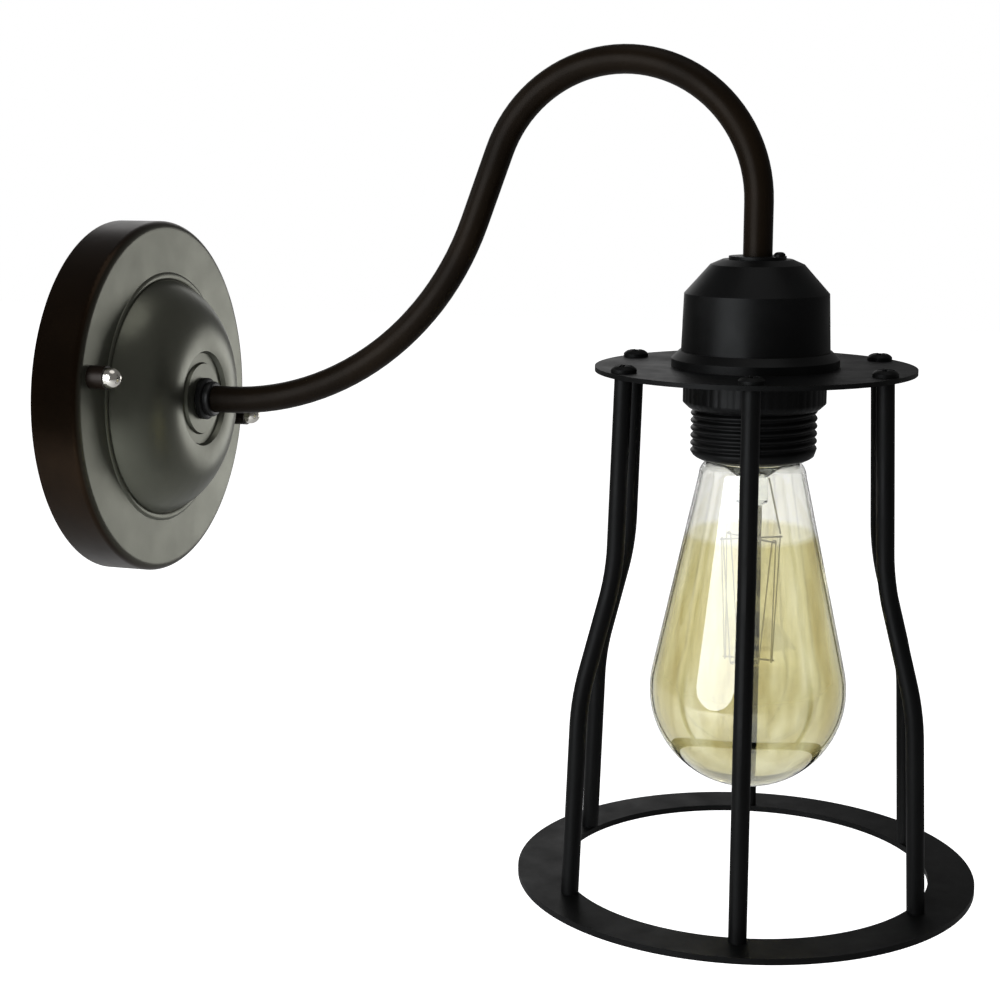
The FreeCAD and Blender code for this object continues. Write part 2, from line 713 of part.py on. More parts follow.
def corner_arc(before, corner, after, bend):
    """Start, middle and end of the arc of one radius that rounds a corner."""
    back = (before - corner).normalize()
    ahead = (after - corner).normalize()
    half_turn = (math.pi - back.getAngle(ahead)) / 2
    reach = bend * math.tan(half_turn)
    middle = corner + (back + ahead).normalize() * (bend / math.cos(half_turn) - bend)
    return corner + back * reach, middle, corner + ahead * reach


def rounded_route(points, bend):
    """A wire of straight runs with tangent arcs at the inner points."""
    edges = []
    here = points[0]
    for before, corner, after in zip(points, points[1:], points[2:]):
        start, middle, finish = corner_arc(before, corner, after, bend)
        if (start - here).Length > 1e-6:
            edges.append(Part.LineSegment(here, start).toShape())
        edges.append(Part.Arc(start, middle, finish).toShape())
        here = finish
    edges.append(Part.LineSegment(here, points[-1]).toShape())
    return Part.Wire(edges)


def wire_solid(route, radius):
    """A round wire swept along a route of lines and arcs."""
    first = route.Edges[0]
    start = first.valueAt(first.FirstParameter)
    heading = first.tangentAt(first.FirstParameter)
    ring = Part.Wire([Part.makeCircle(radius, start, heading)])
    return route.makePipeShell([ring], True, False)


def add_feature(name, shape):
    """A sub-part whose shape is worked out here from the sheet's sizes."""
    item = doc.addObject("Part::Feature", name)
    item.Shape = shape
    item.Label = name
    PARTS.append(item)
    return item


def turned_point(x, y, z):
    """A point fixed to the strap, which is turned about the arm's axis."""
    turn = math.radians(size.strap_turn.number)
    return Vector(x * math.cos(turn) + z * math.sin(turn), y, z * math.cos(turn) - x * math.sin(turn))


def supply_wire(name, way, side):
    """One insulated wire from its block way, through the tube, to its post in the lampholder."""
    offset = side * size.wire_offset.number
    depth = size.strap_thickness.number + size.barrel_depth.number
    below = size.block_height.number / 2
    entry = -(size.strap_thickness.number + size.block_depth.number + size.wire_bend.number)
    floor = below + size.wire_loop.number
    straight = size.arm_straight.number
    climb = math.radians(size.climb_angle.number)
    radius = size.climb_bend.number
    crook = size.crook_bend.number
    far = size.projection.number
    rise = size.arm_rise.number
    start = [
        turned_point(way, -depth, -size.clamp_screw_reach.number / 2),
        turned_point(way, -depth, -floor),
        Vector(offset, entry, -floor),
        Vector(offset, entry, 0),
        Vector(offset, -straight, 0),
    ]
    lead_in = rounded_route(start, size.wire_bend.number)
    foot = Vector(offset, -straight, 0)
    climbed = Vector(offset, -(straight + radius * math.sin(climb)), radius * (1 - math.cos(climb)))
    half = climb / 2
    climb_mid = Vector(offset, -(straight + radius * math.sin(half)), radius * (1 - math.cos(half)))
    hub = Vector(offset, -(far - crook), rise - crook)
    crook_start = hub + Vector(0, crook * math.sin(climb), crook * math.cos(climb))
    crook_mid = hub + Vector(0, crook * math.sin(half), crook * math.cos(half))
    crook_top = hub + Vector(0, 0, crook)
    crook_down = hub + Vector(0, -crook * math.sqrt(0.5), crook * math.sqrt(0.5))
    crook_end = hub + Vector(0, -crook, 0)
    bends = [
        Part.Arc(foot, climb_mid, climbed).toShape(),
        Part.LineSegment(climbed, crook_start).toShape(),
        Part.Arc(crook_start, crook_mid, crook_top).toShape(),
        Part.Arc(crook_top, crook_down, crook_end).toShape(),
    ]
    level = size.disc_level.number
    post_top = level + size.insulator_top.number + size.post_height.number
    spread = size.wire_bend.number
    tube_end = size.cap_top.number - size.tube_in_cap.number
    reach = side * size.post_reach.number
    finish = [
        crook_end,
        Vector(offset, -far, tube_end - spread / 4),
        Vector(reach, -far, post_top + spread),
        Vector(reach, -far, post_top - size.post_height.number / 2),
    ]
    lead_out = rounded_route(finish, spread / 2)
    route = Part.Wire(list(lead_in.Edges) + bends + list(lead_out.Edges))
    return add_feature(name, wire_solid(route, size.wire_radius.number))


def earth_lead():
    """The short earth lead from its block way round to the eyelet's crimp."""
    depth = size.strap_thickness.number + size.barrel_depth.number
    floor = size.block_height.number / 2 + size.wire_loop.number
    crimp_depth = size.strap_thickness.number + size.crimp_radius.number
    crimp_floor = size.washer_radius.number + size.crimp_length.number
    way = way_places()[0].number
    reach = -size.earth_reach.number
    points = [
        turned_point(way, -depth, -size.clamp_screw_reach.number / 2),
        turned_point(way, -depth, -floor),
        turned_point(reach, -crimp_depth, -floor - size.wire_bend.number),
        turned_point(reach, -crimp_depth, -crimp_floor + size.crimp_length.number / 2),
    ]
    route = rounded_route(points, size.wire_bend.number)
    add_feature("earth_lead", wire_solid(route, size.wire_radius.number))
    body = new_body("earth_crimp")
    start, steps = tube_profile(size.wire_radius + size.fit_gap, size.crimp_radius, -size.crimp_length, 0)
    revolve(body, "XZ_Plane", start, steps)
    drop = size.washer_radius + size.fit_gap
    turn = size.strap_turn
    place(body, x=-(cosine(turn) * size.earth_reach + sine(turn) * drop),
          y=-(size.strap_thickness + size.crimp_radius),
          z=sine(turn) * size.earth_reach - cosine(turn) * drop,
          axis=Vector(0, 1, 0), angle=turn)


# ---------------------------------------------------------------- cage

def cage_disc():
    body = new_body("cage_top_plate")
    sketch = new_sketch(body, "XY_Plane", "Outline")
    draw_circle(sketch, 0, 0, size.disc_radius)
    draw_circle(sketch, 0, 0, size.thread_radius + size.loose_gap)
    pad = body.newObject("PartDesign::Pad", "Sheet")
    pad.Profile = sketch
    pad.Reversed = True
    bind(pad, Length=size.disc_thickness)
    holes = new_sketch(body, "XY_Plane", "RodHole")
    draw_circle(holes, size.rod_top_reach, 0, size.rod_screw_radius + size.fit_gap)
    doc.recompute()
    before = body.Shape.Volume
    pocket = body.newObject("PartDesign::Pocket", "RodHoleCut")
    pocket.Profile = holes
    pocket.Midplane = True
    bind(pocket, Length=size.disc_thickness * 3)
    doc.recompute()
    pattern = body.newObject("PartDesign::PolarPattern", "RodHoles")
    pattern.Originals = [pocket]
    pattern.Axis = (sketch, ["N_Axis"])
    pattern.Angle = 360
    pattern.Occurrences = ROD_COUNT
    body.Tip = pattern
    doc.recompute()
    if body.Shape.Volume > before - 1:
        raise RuntimeError("cage_top_plate: the rod holes cut nothing")
    place(body, y=-size.projection, z=size.disc_level, axis=Vector(0, 0, 1), angle=size.rod_turn)


def cage_rods():
    """Six like rods: nearly straight under the disc, two soft bends outwards, then down to the ring."""
    for number in range(ROD_COUNT):
        body = new_body(f"cage_rod_{number + 1}")
        spine = new_sketch(body, "XZ_Plane", "Spine")
        draw_bent_line(spine, [
            (size.rod_top_reach, 0),
            (size.rod_top_reach + size.rod_knee_out, -size.rod_knee_drop),
            (size.rod_foot_reach - size.rod_flare_in, -size.rod_flare_drop),
            (size.rod_foot_reach, -(size.cage_height + size.ring_thickness)),
        ], size.rod_bend)
        section = new_sketch(body, "XY_Plane", "Section")
        draw_circle(section, size.rod_top_reach, 0, size.rod_radius)
        bar = body.newObject("PartDesign::AdditivePipe", "Bar")
        bar.Profile = section
        bar.Spine = spine
        trim_rod(body)
        bore_rod(body)
        place(body, y=-size.projection, z=size.disc_level, axis=Vector(0, 0, 1),
              angle=size.rod_turn + 360 / ROD_COUNT * number)


def draw_bent_line(sketch, points, bend):
    """Runs between points, with an arc of one radius at each inner point."""
    spots = [Vector(term(point[0]).number, term(point[1]).number, 0) for point in points]
    arcs = [corner_arc(*three, bend.number) for three in zip(spots, spots[1:], spots[2:])]
    starts = [spots[0]] + [arc[2] for arc in arcs]
    ends = [arc[0] for arc in arcs] + [spots[-1]]
    runs = [sketch.addGeometry(Part.LineSegment(start, end)) for start, end in zip(starts, ends)]
    for index, arc in enumerate(arcs):
        first, second = runs[index], runs[index + 1]
        edge = sketch.addGeometry(Part.Arc(*arc))
        begins = (sketch.getPoint(edge, 1) - arc[0]).Length < 1e-6
        head, tail = (1, 2) if begins else (2, 1)
        sketch.addConstraint(Sketcher.Constraint("Tangent", first, 2, edge, head))
        sketch.addConstraint(Sketcher.Constraint("Tangent", edge, tail, second, 1))
        radius = sketch.addConstraint(Sketcher.Constraint("Radius", edge, bend.number))
        sketch.setExpression(f"Constraints[{radius}]", bend.formula)
        mark = sketch.addGeometry(Part.Point(spots[index + 1]), True)
        fix_point(sketch, mark, 1, points[index + 1])
        sketch.addConstraint(Sketcher.Constraint("PointOnObject", mark, 1, first))
        sketch.addConstraint(Sketcher.Constraint("PointOnObject", mark, 1, second))
    fix_point(sketch, runs[0], 1, points[0])
    fix_point(sketch, runs[-1], 2, points[-1])


def trim_rod(body):
    """Cuts the rod square under the disc and on the ring."""
    sketch = new_sketch(body, "XZ_Plane", "Trim")
    near = size.rod_top_reach - size.rod_radius * 3
    far = size.rod_foot_reach + size.rod_radius * 3
    draw(sketch, (near, -size.disc_thickness), [
        (far, -size.disc_thickness),
        (far, size.rod_radius),
        (near, size.rod_radius),
    ])
    draw(sketch, (near, -size.cage_height), [
        (far, -size.cage_height),
        (far, -(size.cage_height + size.rod_radius * 3)),
        (near, -(size.cage_height + size.rod_radius * 3)),
    ])
    doc.recompute()
    before = body.Shape.Volume
    pocket = body.newObject("PartDesign::Pocket", "Trimmed")
    pocket.Profile = sketch
    pocket.Midplane = True
    bind(pocket, Length=size.rod_radius * 4)
    doc.recompute()
    if body.Shape.Volume > before - 1:
        raise RuntimeError("cage rod: the trim cut nothing")


def bore_rod(body):
    """The blind hole for the rod's screw."""
    sketch = new_sketch(body, "XZ_Plane", "ScrewHole")
    half = size.rod_screw_radius + size.fit_gap
    floor = -(size.rod_screw_length + size.loose_gap)
    draw(sketch, (size.rod_top_reach, 0), [
        (size.rod_top_reach + half, 0),
        (size.rod_top_reach + half, floor),
        (size.rod_top_reach, floor),
    ])
    axis_line(sketch, (size.rod_top_reach, 0), (size.rod_top_reach, floor))
    before = body.Shape.Volume
    groove = body.newObject("PartDesign::Groove", "ScrewHoleCut")
    groove.Profile = sketch
    groove.ReferenceAxis = (sketch, ["Axis0"])
    groove.Angle = 360
    doc.recompute()
    if body.Shape.Volume > before - 1:
        raise RuntimeError("cage rod: the screw hole cut nothing")


def cage_rod_screws():
    """Six dome-headed screws through the disc into the rods."""
    body = new_body("cage_rod_screws")
    sketch = new_sketch(body, "XZ_Plane", "Profile")
    reach = size.rod_top_reach
    rise = size.rod_head_height
    spread = size.rod_head_radius
    crown = (spread * spread + rise * rise) / (rise * 2)
    draw(sketch, (reach, -size.rod_screw_length), [
        (reach + size.rod_screw_radius, -size.rod_screw_length),
        (reach + size.rod_screw_radius, 0),
        (reach + spread, 0),
        (reach, rise, crown, 1),
    ])
    axis_line(sketch, (reach, 0), (reach, -size.rod_screw_length))
    turned = body.newObject("PartDesign::Revolution", "Screw")
    turned.Profile = sketch
    turned.ReferenceAxis = (sketch, ["Axis0"])
    turned.Angle = 360
    doc.recompute()
    pattern = body.newObject("PartDesign::PolarPattern", "Screws")
    pattern.Originals = [turned]
    pattern.Axis = (sketch, ["V_Axis"])
    pattern.Angle = 360
    pattern.Occurrences = ROD_COUNT
    body.Tip = pattern
    place(body, y=-size.projection, z=size.disc_level, axis=Vector(0, 0, 1), angle=size.rod_turn)


def cage_ring():
    body = new_body("cage_ring")
    sketch = new_sketch(body, "XY_Plane", "Outline")
    draw_circle(sketch, 0, 0, size.ring_radius)
    draw_circle(sketch, 0, 0, size.ring_bore)
    pad = body.newObject("PartDesign::Pad", "Sheet")
    pad.Profile = sketch
    pad.Reversed = True
    bind(pad, Length=size.ring_thickness)
    place(body, y=-size.projection, z=size.ring_level)


# ---------------------------------------------------------------- lampholder

def lampholder():
    """Cap, threaded skirt and the two shade rings that clamp the cage's disc between them."""
    thread_bore = size.thread_radius + size.fit_gap
    turned_upright("upper_shade_ring", (thread_bore, 0), [
        (size.upper_ring_radius, 0),
        (size.upper_ring_radius, size.upper_ring_flange),
        (size.cap_radius + size.loose_gap * 2, size.upper_ring_height),
        (thread_bore, size.upper_ring_height),
    ])
    under = -size.disc_thickness
    low = -(size.disc_thickness + size.lower_ring_height)
    turned_upright("lower_shade_ring", (thread_bore, low), [
        (size.lower_ring_radius - size.lower_ring_lip, low),
        (size.lower_ring_radius, low + size.lower_ring_lip),
        (size.lower_ring_radius, under),
        (thread_bore, under),
    ])
    chin = -(size.skirt_drop + size.skirt_chin)
    lip = -(size.skirt_drop + size.skirt_chin - size.lip_height)
    turned_upright("lampholder_skirt", (size.mouth_radius, chin), [
        (size.chin_radius, chin),
        (size.thread_radius - size.skirt_edge, -size.skirt_drop, size.skirt_chin * 2, 1),
        (size.thread_radius, -size.skirt_drop + size.skirt_edge),
        (size.thread_radius, size.skirt_above),
        (size.skirt_bore, size.skirt_above),
        (size.skirt_bore, lip),
        (size.mouth_radius, lip),
    ])
    lampholder_cap()
    return lip


def lampholder_cap():
    wall = size.cap_wall
    bore = size.arm_radius + size.fit_gap
    side = size.cap_radius - size.cap_taper
    shoulder = size.cap_shoulder
    top = size.cap_height
    boss_top = size.cap_height + size.cap_boss_height
    body = turned_upright("lampholder_cap", (bore, boss_top), [
        (bore, top - wall),
        (size.cap_flat_radius - wall, top - wall),
        (size.cap_crown_radius - wall, size.cap_crown_height - wall / 2),
        (side - wall, shoulder - wall / 2),
        (size.cap_radius - wall, size.upper_ring_height),
        (size.cap_radius, size.upper_ring_height),
        (side, shoulder),
        (size.cap_crown_radius, size.cap_crown_height),
        (size.cap_flat_radius, top),
        (size.cap_boss_radius, top),
        (size.cap_boss_radius, boss_top),
    ])
    doc.recompute()
    hole = size.lock_screw_radius + size.fit_gap
    drill(body, "XY_Plane", [(0, -size.lock_screw_reach, hole)], boss_top + size.cap_boss_height)
    screw = turned_upright("cap_lock_screw", (0, top - wall), [
        (size.lock_screw_radius, top - wall),
        (size.lock_screw_radius, boss_top),
        (size.lock_head_radius, boss_top),
        (size.lock_head_radius, boss_top + size.lock_head_height),
        (0, boss_top + size.lock_head_height),
    ])
    place(screw, y=-(size.projection + size.lock_screw_reach), z=size.disc_level)


def lampholder_core(lip):
    """The insulator with its screw shell, centre contact, terminal posts and their screws."""
    turned_upright("lampholder_insulator", (0, size.insulator_floor), [
        (size.insulator_bore, size.insulator_floor),
        (size.insulator_bore, lip),
        (size.insulator_radius, lip),
        (size.insulator_radius, size.insulator_top),
        (0, size.insulator_top),
    ])
    start, steps = tube_profile(size.shell_radius - size.shell_wall, size.shell_radius,
                                size.insulator_floor - size.shell_length, size.insulator_floor)
    turned_upright("screw_shell", start, steps)
    tip = size.insulator_floor - contact_height()
    turned_upright("centre_contact", (0, tip), [
        (size.contact_radius, tip),
        (size.contact_radius, tip + size.contact_thickness),
        (size.contact_radius / 2, tip + size.contact_thickness),
        (size.contact_radius / 2, size.insulator_floor),
        (0, size.insulator_floor),
    ])
    posts, screws = [], []
    top = size.insulator_top
    for side in (1, -1):
        shank = cylinder("post_body", size.post_radius, size.post_height)
        move(shank, x=size.post_reach * side, y=-size.projection, z=size.disc_level + top)
        bore = cylinder("post_hole", size.post_bore, size.post_height)
        floor = size.disc_level + top + size.post_floor
        move(bore, x=size.post_reach * side, y=-size.projection, z=floor)
        tap_height = size.disc_level + top + size.post_screw_rise
        tap = cylinder("post_tap", size.post_screw_radius + size.fit_gap, size.post_radius * 2, "Y")
        move(tap, x=size.post_reach * side, y=-size.projection, z=tap_height)
        joined = doc.addObject("Part::Fuse", "post_holes")
        joined.Base = bore
        joined.Tool = tap
        post = doc.addObject("Part::Cut", "post")
        post.Base = shank
        post.Tool = joined
        posts.append(post)
        gap = size.wire_radius + size.fit_gap
        head_at = size.post_radius + size.fit_gap
        thread = cylinder("post_screw_shank", size.post_screw_radius, head_at - gap + size.fit_gap, "Y")
        move(thread, x=size.post_reach * side, y=-(size.projection + gap), z=tap_height)
        head = cylinder("post_screw_head", size.post_head_radius, size.post_head_radius, "Y")
        move(head, x=size.post_reach * side, y=-(size.projection + head_at), z=tap_height)
        screw = doc.addObject("Part::Fuse", "post_screw")
        screw.Base = thread
        screw.Tool = head
        screws.append(screw)
    group("lampholder_terminals", posts)
    group("lampholder_terminal_screws", screws)


def contact_height():
    """Centre contact's drop: from the insulator's underside down to the bulb's tip."""
    return size.insulator_floor - bulb_tip_level() - size.fit_gap


def bulb_tip_level():
    """The bulb's tip, from the disc's top."""
    return -size.neck_top + size.cap_shell_length + size.cone_height + size.tip_height


# ---------------------------------------------------------------- bulb

def bulb_envelope():
    """A teardrop glass shell: a straight neck, a shoulder, a sloping flank and a round end."""
    slope = size.bulb_flank
    centre = -size.bulb_drop

    def half_outline(inset):
        curve = size.bulb_radius - inset
        touch = (curve * cosine(slope), centre + curve * sine(slope))
        fall = touch[1] + size.shoulder_end
        tangent = sine(slope) / cosine(slope)
        shoulder = (touch[0] + fall * tangent, -size.shoulder_end)
        return [
            (size.neck_radius - inset, -size.neck_top),
            (size.neck_radius - inset, -(size.neck_shoulder + inset)),
            shoulder + (size.shoulder_curve - inset, -1),
            touch,
            (0, centre - curve, curve, -1),
        ]

    outside = half_outline(term(0))
    inside = half_outline(size.glass_wall)
    steps = outside[1:] + [
        inside[4][:2],
        inside[3] + (inside[4][2], 1),
        inside[2][:2],
        inside[1] + (inside[2][2], 1),
        inside[0],
    ]
    turned_upright("bulb_envelope", outside[0], steps)


def bulb_cap():
    """Metal cap, black insulator and tip contact."""
    low = -size.neck_top
    high = size.cap_shell_length - size.neck_top
    cone_top = high + size.cone_height
    bore = size.cap_shell_radius - size.cap_shell_wall
    start, steps = tube_profile(bore, size.cap_shell_radius, low, high)
    turned_upright("bulb_cap_shell", start, steps)
    turned_upright("bulb_cap_insulator", (0, high), [
        (bore, high),
        (size.cone_radius, cone_top),
        (0, cone_top),
    ])
    tip_top = cone_top + size.tip_height
    turned_upright("bulb_tip_contact", (0, cone_top), [
        (size.tip_radius, cone_top),
        (size.tip_end_radius, tip_top),
        (0, tip_top),
    ])


def bulb_mount():
    """Glass stem with its flared rim, and the long mast that carries the hooks."""
    rim = -(size.neck_top + size.glass_wall)
    low = -size.stem_drop
    flare = size.neck_radius - size.glass_wall - size.fit_gap
    turned_upright("bulb_stem", (0, rim), [
        (flare, rim),
        (flare, rim - size.glass_wall),
        (size.stem_radius, rim - flare + size.stem_radius),
        (size.stem_radius, low + size.stem_radius / 2),
        (size.mast_radius, low),
        (size.mast_radius, -size.mast_drop),
        (0, -size.mast_drop),
    ])


def around(count, reach, height, phase):
    """Points one upper hook's step apart about the cage axis, at a height from the disc's top."""
    centre = Vector(0, -size.projection.number, size.disc_level.number)
    step = 2 * math.pi / UPPER_HOOKS
    return [centre + Vector(reach * math.cos(step * k + phase), reach * math.sin(step * k + phase), height)
            for k in range(count)]


def hook_wires(name, count, height, reach, phase):
    """Straight support wires that stand out from the mast and stop at the filament."""
    radius = size.hook_radius.number
    inner = around(count, size.mast_radius.number + size.fit_gap.number, height, phase)
    outer = around(count, reach, height, phase)
    wires = [Part.makeCylinder(radius, (b - a).Length, a, b - a) for a, b in zip(inner, outer)]
    add_feature(name, Part.makeCompound(wires))


def filament():
    """One fine wire that zigzags between the upper and lower hooks, rounded where it turns."""
    ease = size.filament_ease.number
    step = math.pi / UPPER_HOOKS
    lift = size.hook_radius.number + size.filament_radius.number + size.fit_gap.number
    top_reach = size.hook_top_reach.number - ease
    low_reach = size.hook_low_reach.number - ease
    low_height = lower_hook_height()
    points = []
    for index in range(LOWER_HOOKS):
        points += loop_over(top_reach, lift - size.hook_top_drop.number, step * 2 * index, ease)
        points += loop_over(low_reach, low_height - lift, step * (2 * index + 1), ease)
    points += loop_over(top_reach, lift - size.hook_top_drop.number, step * 2 * LOWER_HOOKS, ease)
    points = points[1:-1]
    route = rounded_route(points, size.filament_bend.number)
    add_feature("filament", wire_solid(route, size.filament_radius.number))
    return points[0], points[-1]


def lower_hook_height():
    return size.filament_ease.number - size.mast_drop.number


def loop_over(reach, height, angle, ease):
    """The two points, square to a hook, between which the filament passes over it."""
    centre = Vector(reach * math.cos(angle), reach * math.sin(angle) - size.projection.number,
                    size.disc_level.number + height)
    aside = Vector(-math.sin(angle), math.cos(angle), 0) * ease
    return [centre - aside, centre + aside]


def lead_wires(ends):
    """Two stiff wires from the stem down to the filament's ends."""
    wires = []
    gap = size.hook_radius.number + size.filament_radius.number + size.fit_gap.number
    for end in ends:
        axis = Vector(0, -size.projection.number, 0)
        outward = Vector(end.x, end.y + size.projection.number, 0).normalize()
        start = axis + outward * (size.stem_radius.number + size.hook_radius.number + size.fit_gap.number)
        start.z = size.disc_level.number - size.neck_top.number - size.lead_drop.number
        finish = Vector(end.x, end.y, end.z + gap)
        run = finish - start
        wires.append(Part.makeCylinder(size.hook_radius.number, run.Length, start, run))
    add_feature("bulb_lead_wires", Part.makeCompound(wires))


def check_and_write():
    """Stops on any failed object or bad solid, then writes one file for each sub-part."""
    doc.recompute()
    for item in doc.Objects:
        if "Invalid" in item.State or "Error" in item.State:
            raise RuntimeError(f"{item.Name}: {item.State}")
    for item in PARTS:
        shape = item.Shape
        if shape.isNull() or not shape.isValid() or not shape.Solids:
            raise RuntimeError(f"{item.Label}: its shape is not sound")
    os.makedirs("parts", exist_ok=True)
    for item in PARTS:
        item.Shape.exportStep(f"parts/{item.Label}.step")
    print(f"{len(PARTS)} sub-parts written")


def main():
    fill_sheet()
    wall_plate()
    mounting_strap()
    canopy_fixings()
    earth_fixing()
    terminal_block()
    gooseneck_arm()
    arm_fixings()
    earth_lead()
    ways = way_places()
    supply_wire("neutral_wire", ways[1].number, -1)
    supply_wire("live_wire", ways[2].number, 1)
    cage_disc()
    cage_rods()
    cage_rod_screws()
    cage_ring()
    lip = lampholder()
    lampholder_core(lip)
    bulb_envelope()
    bulb_cap()
    bulb_mount()
    upper_height = -size.hook_top_drop.number
    hook_wires("filament_hooks_upper", UPPER_HOOKS, upper_height, size.hook_top_reach.number, 0.0)
    low_reach = size.hook_low_reach.number
    hook_wires("filament_hooks_lower", LOWER_HOOKS, lower_hook_height(), low_reach, math.pi / UPPER_HOOKS)
    lead_wires(filament())
    check_and_write()


main()
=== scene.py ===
import json
import math

import bmesh
import bpy
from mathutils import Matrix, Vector


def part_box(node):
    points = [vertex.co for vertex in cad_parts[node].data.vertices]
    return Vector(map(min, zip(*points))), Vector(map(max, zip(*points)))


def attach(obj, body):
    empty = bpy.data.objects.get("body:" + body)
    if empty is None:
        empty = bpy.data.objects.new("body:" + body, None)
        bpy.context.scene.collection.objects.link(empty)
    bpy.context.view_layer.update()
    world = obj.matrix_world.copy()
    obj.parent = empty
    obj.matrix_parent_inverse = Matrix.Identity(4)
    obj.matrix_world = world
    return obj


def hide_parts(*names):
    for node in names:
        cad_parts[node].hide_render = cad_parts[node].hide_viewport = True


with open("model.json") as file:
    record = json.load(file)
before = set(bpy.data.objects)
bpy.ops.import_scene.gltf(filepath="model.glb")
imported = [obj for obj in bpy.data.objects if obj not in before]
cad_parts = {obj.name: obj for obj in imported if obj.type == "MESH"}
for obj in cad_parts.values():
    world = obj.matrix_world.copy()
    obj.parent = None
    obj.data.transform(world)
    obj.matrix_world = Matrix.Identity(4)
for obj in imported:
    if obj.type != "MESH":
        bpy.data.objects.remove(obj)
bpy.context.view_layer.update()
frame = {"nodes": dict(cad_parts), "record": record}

# Looks for the cage wall light. Metres; the wall is Y = 0, the light stands out along -Y, +Z is up.

NODES = frame["nodes"]

# ---------------------------------------------------------------- places read from the frame

DISC_LOW, DISC_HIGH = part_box("cage_top_plate")
AXIS_X = (DISC_LOW[0] + DISC_HIGH[0]) / 2     # the cage's upright axis
AXIS_Y = (DISC_LOW[1] + DISC_HIGH[1]) / 2
DISC_TOP = DISC_HIGH[2]
RING_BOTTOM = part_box("cage_ring")[0][2]

# ---------------------------------------------------------------- driving values

# camera: found by matching the cage's disc and ring, the arm and the wall plate with the photograph
CAMERA_AT = (-0.6056, -0.3436, 0.0891)
CAMERA_TURN = 18.59           # degrees from +X towards +Y
CAMERA_TILT = -10.52          # degrees above level, so it looks down
CAMERA_LENS = 70.13           # mm, on a frame of this width in mm:
CAMERA_FRAME = 36.0

FLOOR_DROP = 0.20             # floor below the cage ring
FLOOR_REACH = 4.0
DIM_ROOM = 0.16               # what the room gives the object, next to the white that the camera sees

# coat on the bulb's glass
BARE_NECK = 0.0268            # from the top of the glass down to the coat
COAT_EDGE = 0.0022            # height over which the coat's edge fades
COAT_DEEP_BELOW = 0.006       # heights above the glass's foot, between which the coat gets thinner
COAT_THIN_ABOVE = 0.052
PAINTED_SHADE_START_BEHIND = 0.020      # painted shade on the coat, darkest on the side away from the wall: from the axis towards the wall, where it begins, and away from it, where it is full
PAINTED_SHADE_FULL_AHEAD = 0.042

# pressed bead and stepped collar on the wall plate
DOME_FOOT = 0.0410            # radius where the plate's dome leaves its flat face
BEAD_WIDTH = 0.0024
BEAD_HEIGHT = 0.0005
COLLAR_FLANGE = 0.0017        # thickness of the collar's flange up to its bevelled front edge
COLLAR_GROOVE = 0.0022        # from the seat to the groove in front of the flange
COLLAR_STEP = 0.0011          # how far the nose stands in from the flange

# lampholder skirt
SKIRT_PITCH = 0.0024
SKIRT_DEPTH = 0.0009
SKIRT_THREAD_UP = 0.0020      # from the skirt's foot up to the thread
SKIRT_THREAD_DOWN = 0.0010    # from the skirt's top down to the thread
SKIRT_FADE_IN = 0.0006        # heights over which the thread grows in at its foot and runs out at its top
SKIRT_FADE_OUT = 0.0015
SKIRT_LAND = 0.0004           # plain land at its top
CREST_BREADTH = 0.8           # under 1, the crests are broader than the roots
SKIRT_BORE = 0.0179
SKIRT_MOUTH = 0.0146          # radius of the opening in its foot
SKIRT_LIP = 0.0056            # thickness of the foot round that opening
SKIRT_FOOT = ((0.0158, 0.0), (0.0172, 0.0003), (0.0184, 0.0009), (0.0192, 0.0015))   # radius, rise

# lower shade ring
RING_BORE = 0.02005
RING_RIBS = 48
POINTS_A_RIB = 8
RIB_DEPTH = 0.00015
RIB_BREADTH = 0.5             # under 1, the ribs are broader than the grooves
RIB_MARGIN = 0.0026           # from each end of the ring to the full ribs
RIB_FADE = 0.0008             # further out, they have faded to a part of their depth

# rolled screw shells
SHELL_PITCH = 0.0036
SHELL_DEPTH = 0.0009
SHELL_WALL = 0.0003
SHELL_PLAIN = 0.003           # plain height at each end
SHELL_FADE = 0.002            # height over which the thread grows to its full depth

# screws
CAGE_RODS = 6
ROD_SCREW_BOX = 0.0043        # radius of the plain heads in the frame
ROD_SCREW_TURN = 10.0         # degrees from +X to the first of them
ROD_SCREW_HEAD = 0.0040
ROD_SCREW_RISE = 0.0023
ROD_SCREW_SHANK = 0.0015
LOCK_SCREW_RISE = 0.0013
LOCK_SCREW_SHANK = 0.0012

RINGS_A_PITCH = 8             # rings of points from one thread crest to the next
SHARP_EDGE = math.radians(40)   # turned pieces and screws stay sharp where faces turn by more

# colour sockets of Blender's Mix node, by number because its kinds of socket share their names
MIX_FIRST = 6
MIX_SECOND = 7
MIX_RESULT = 2

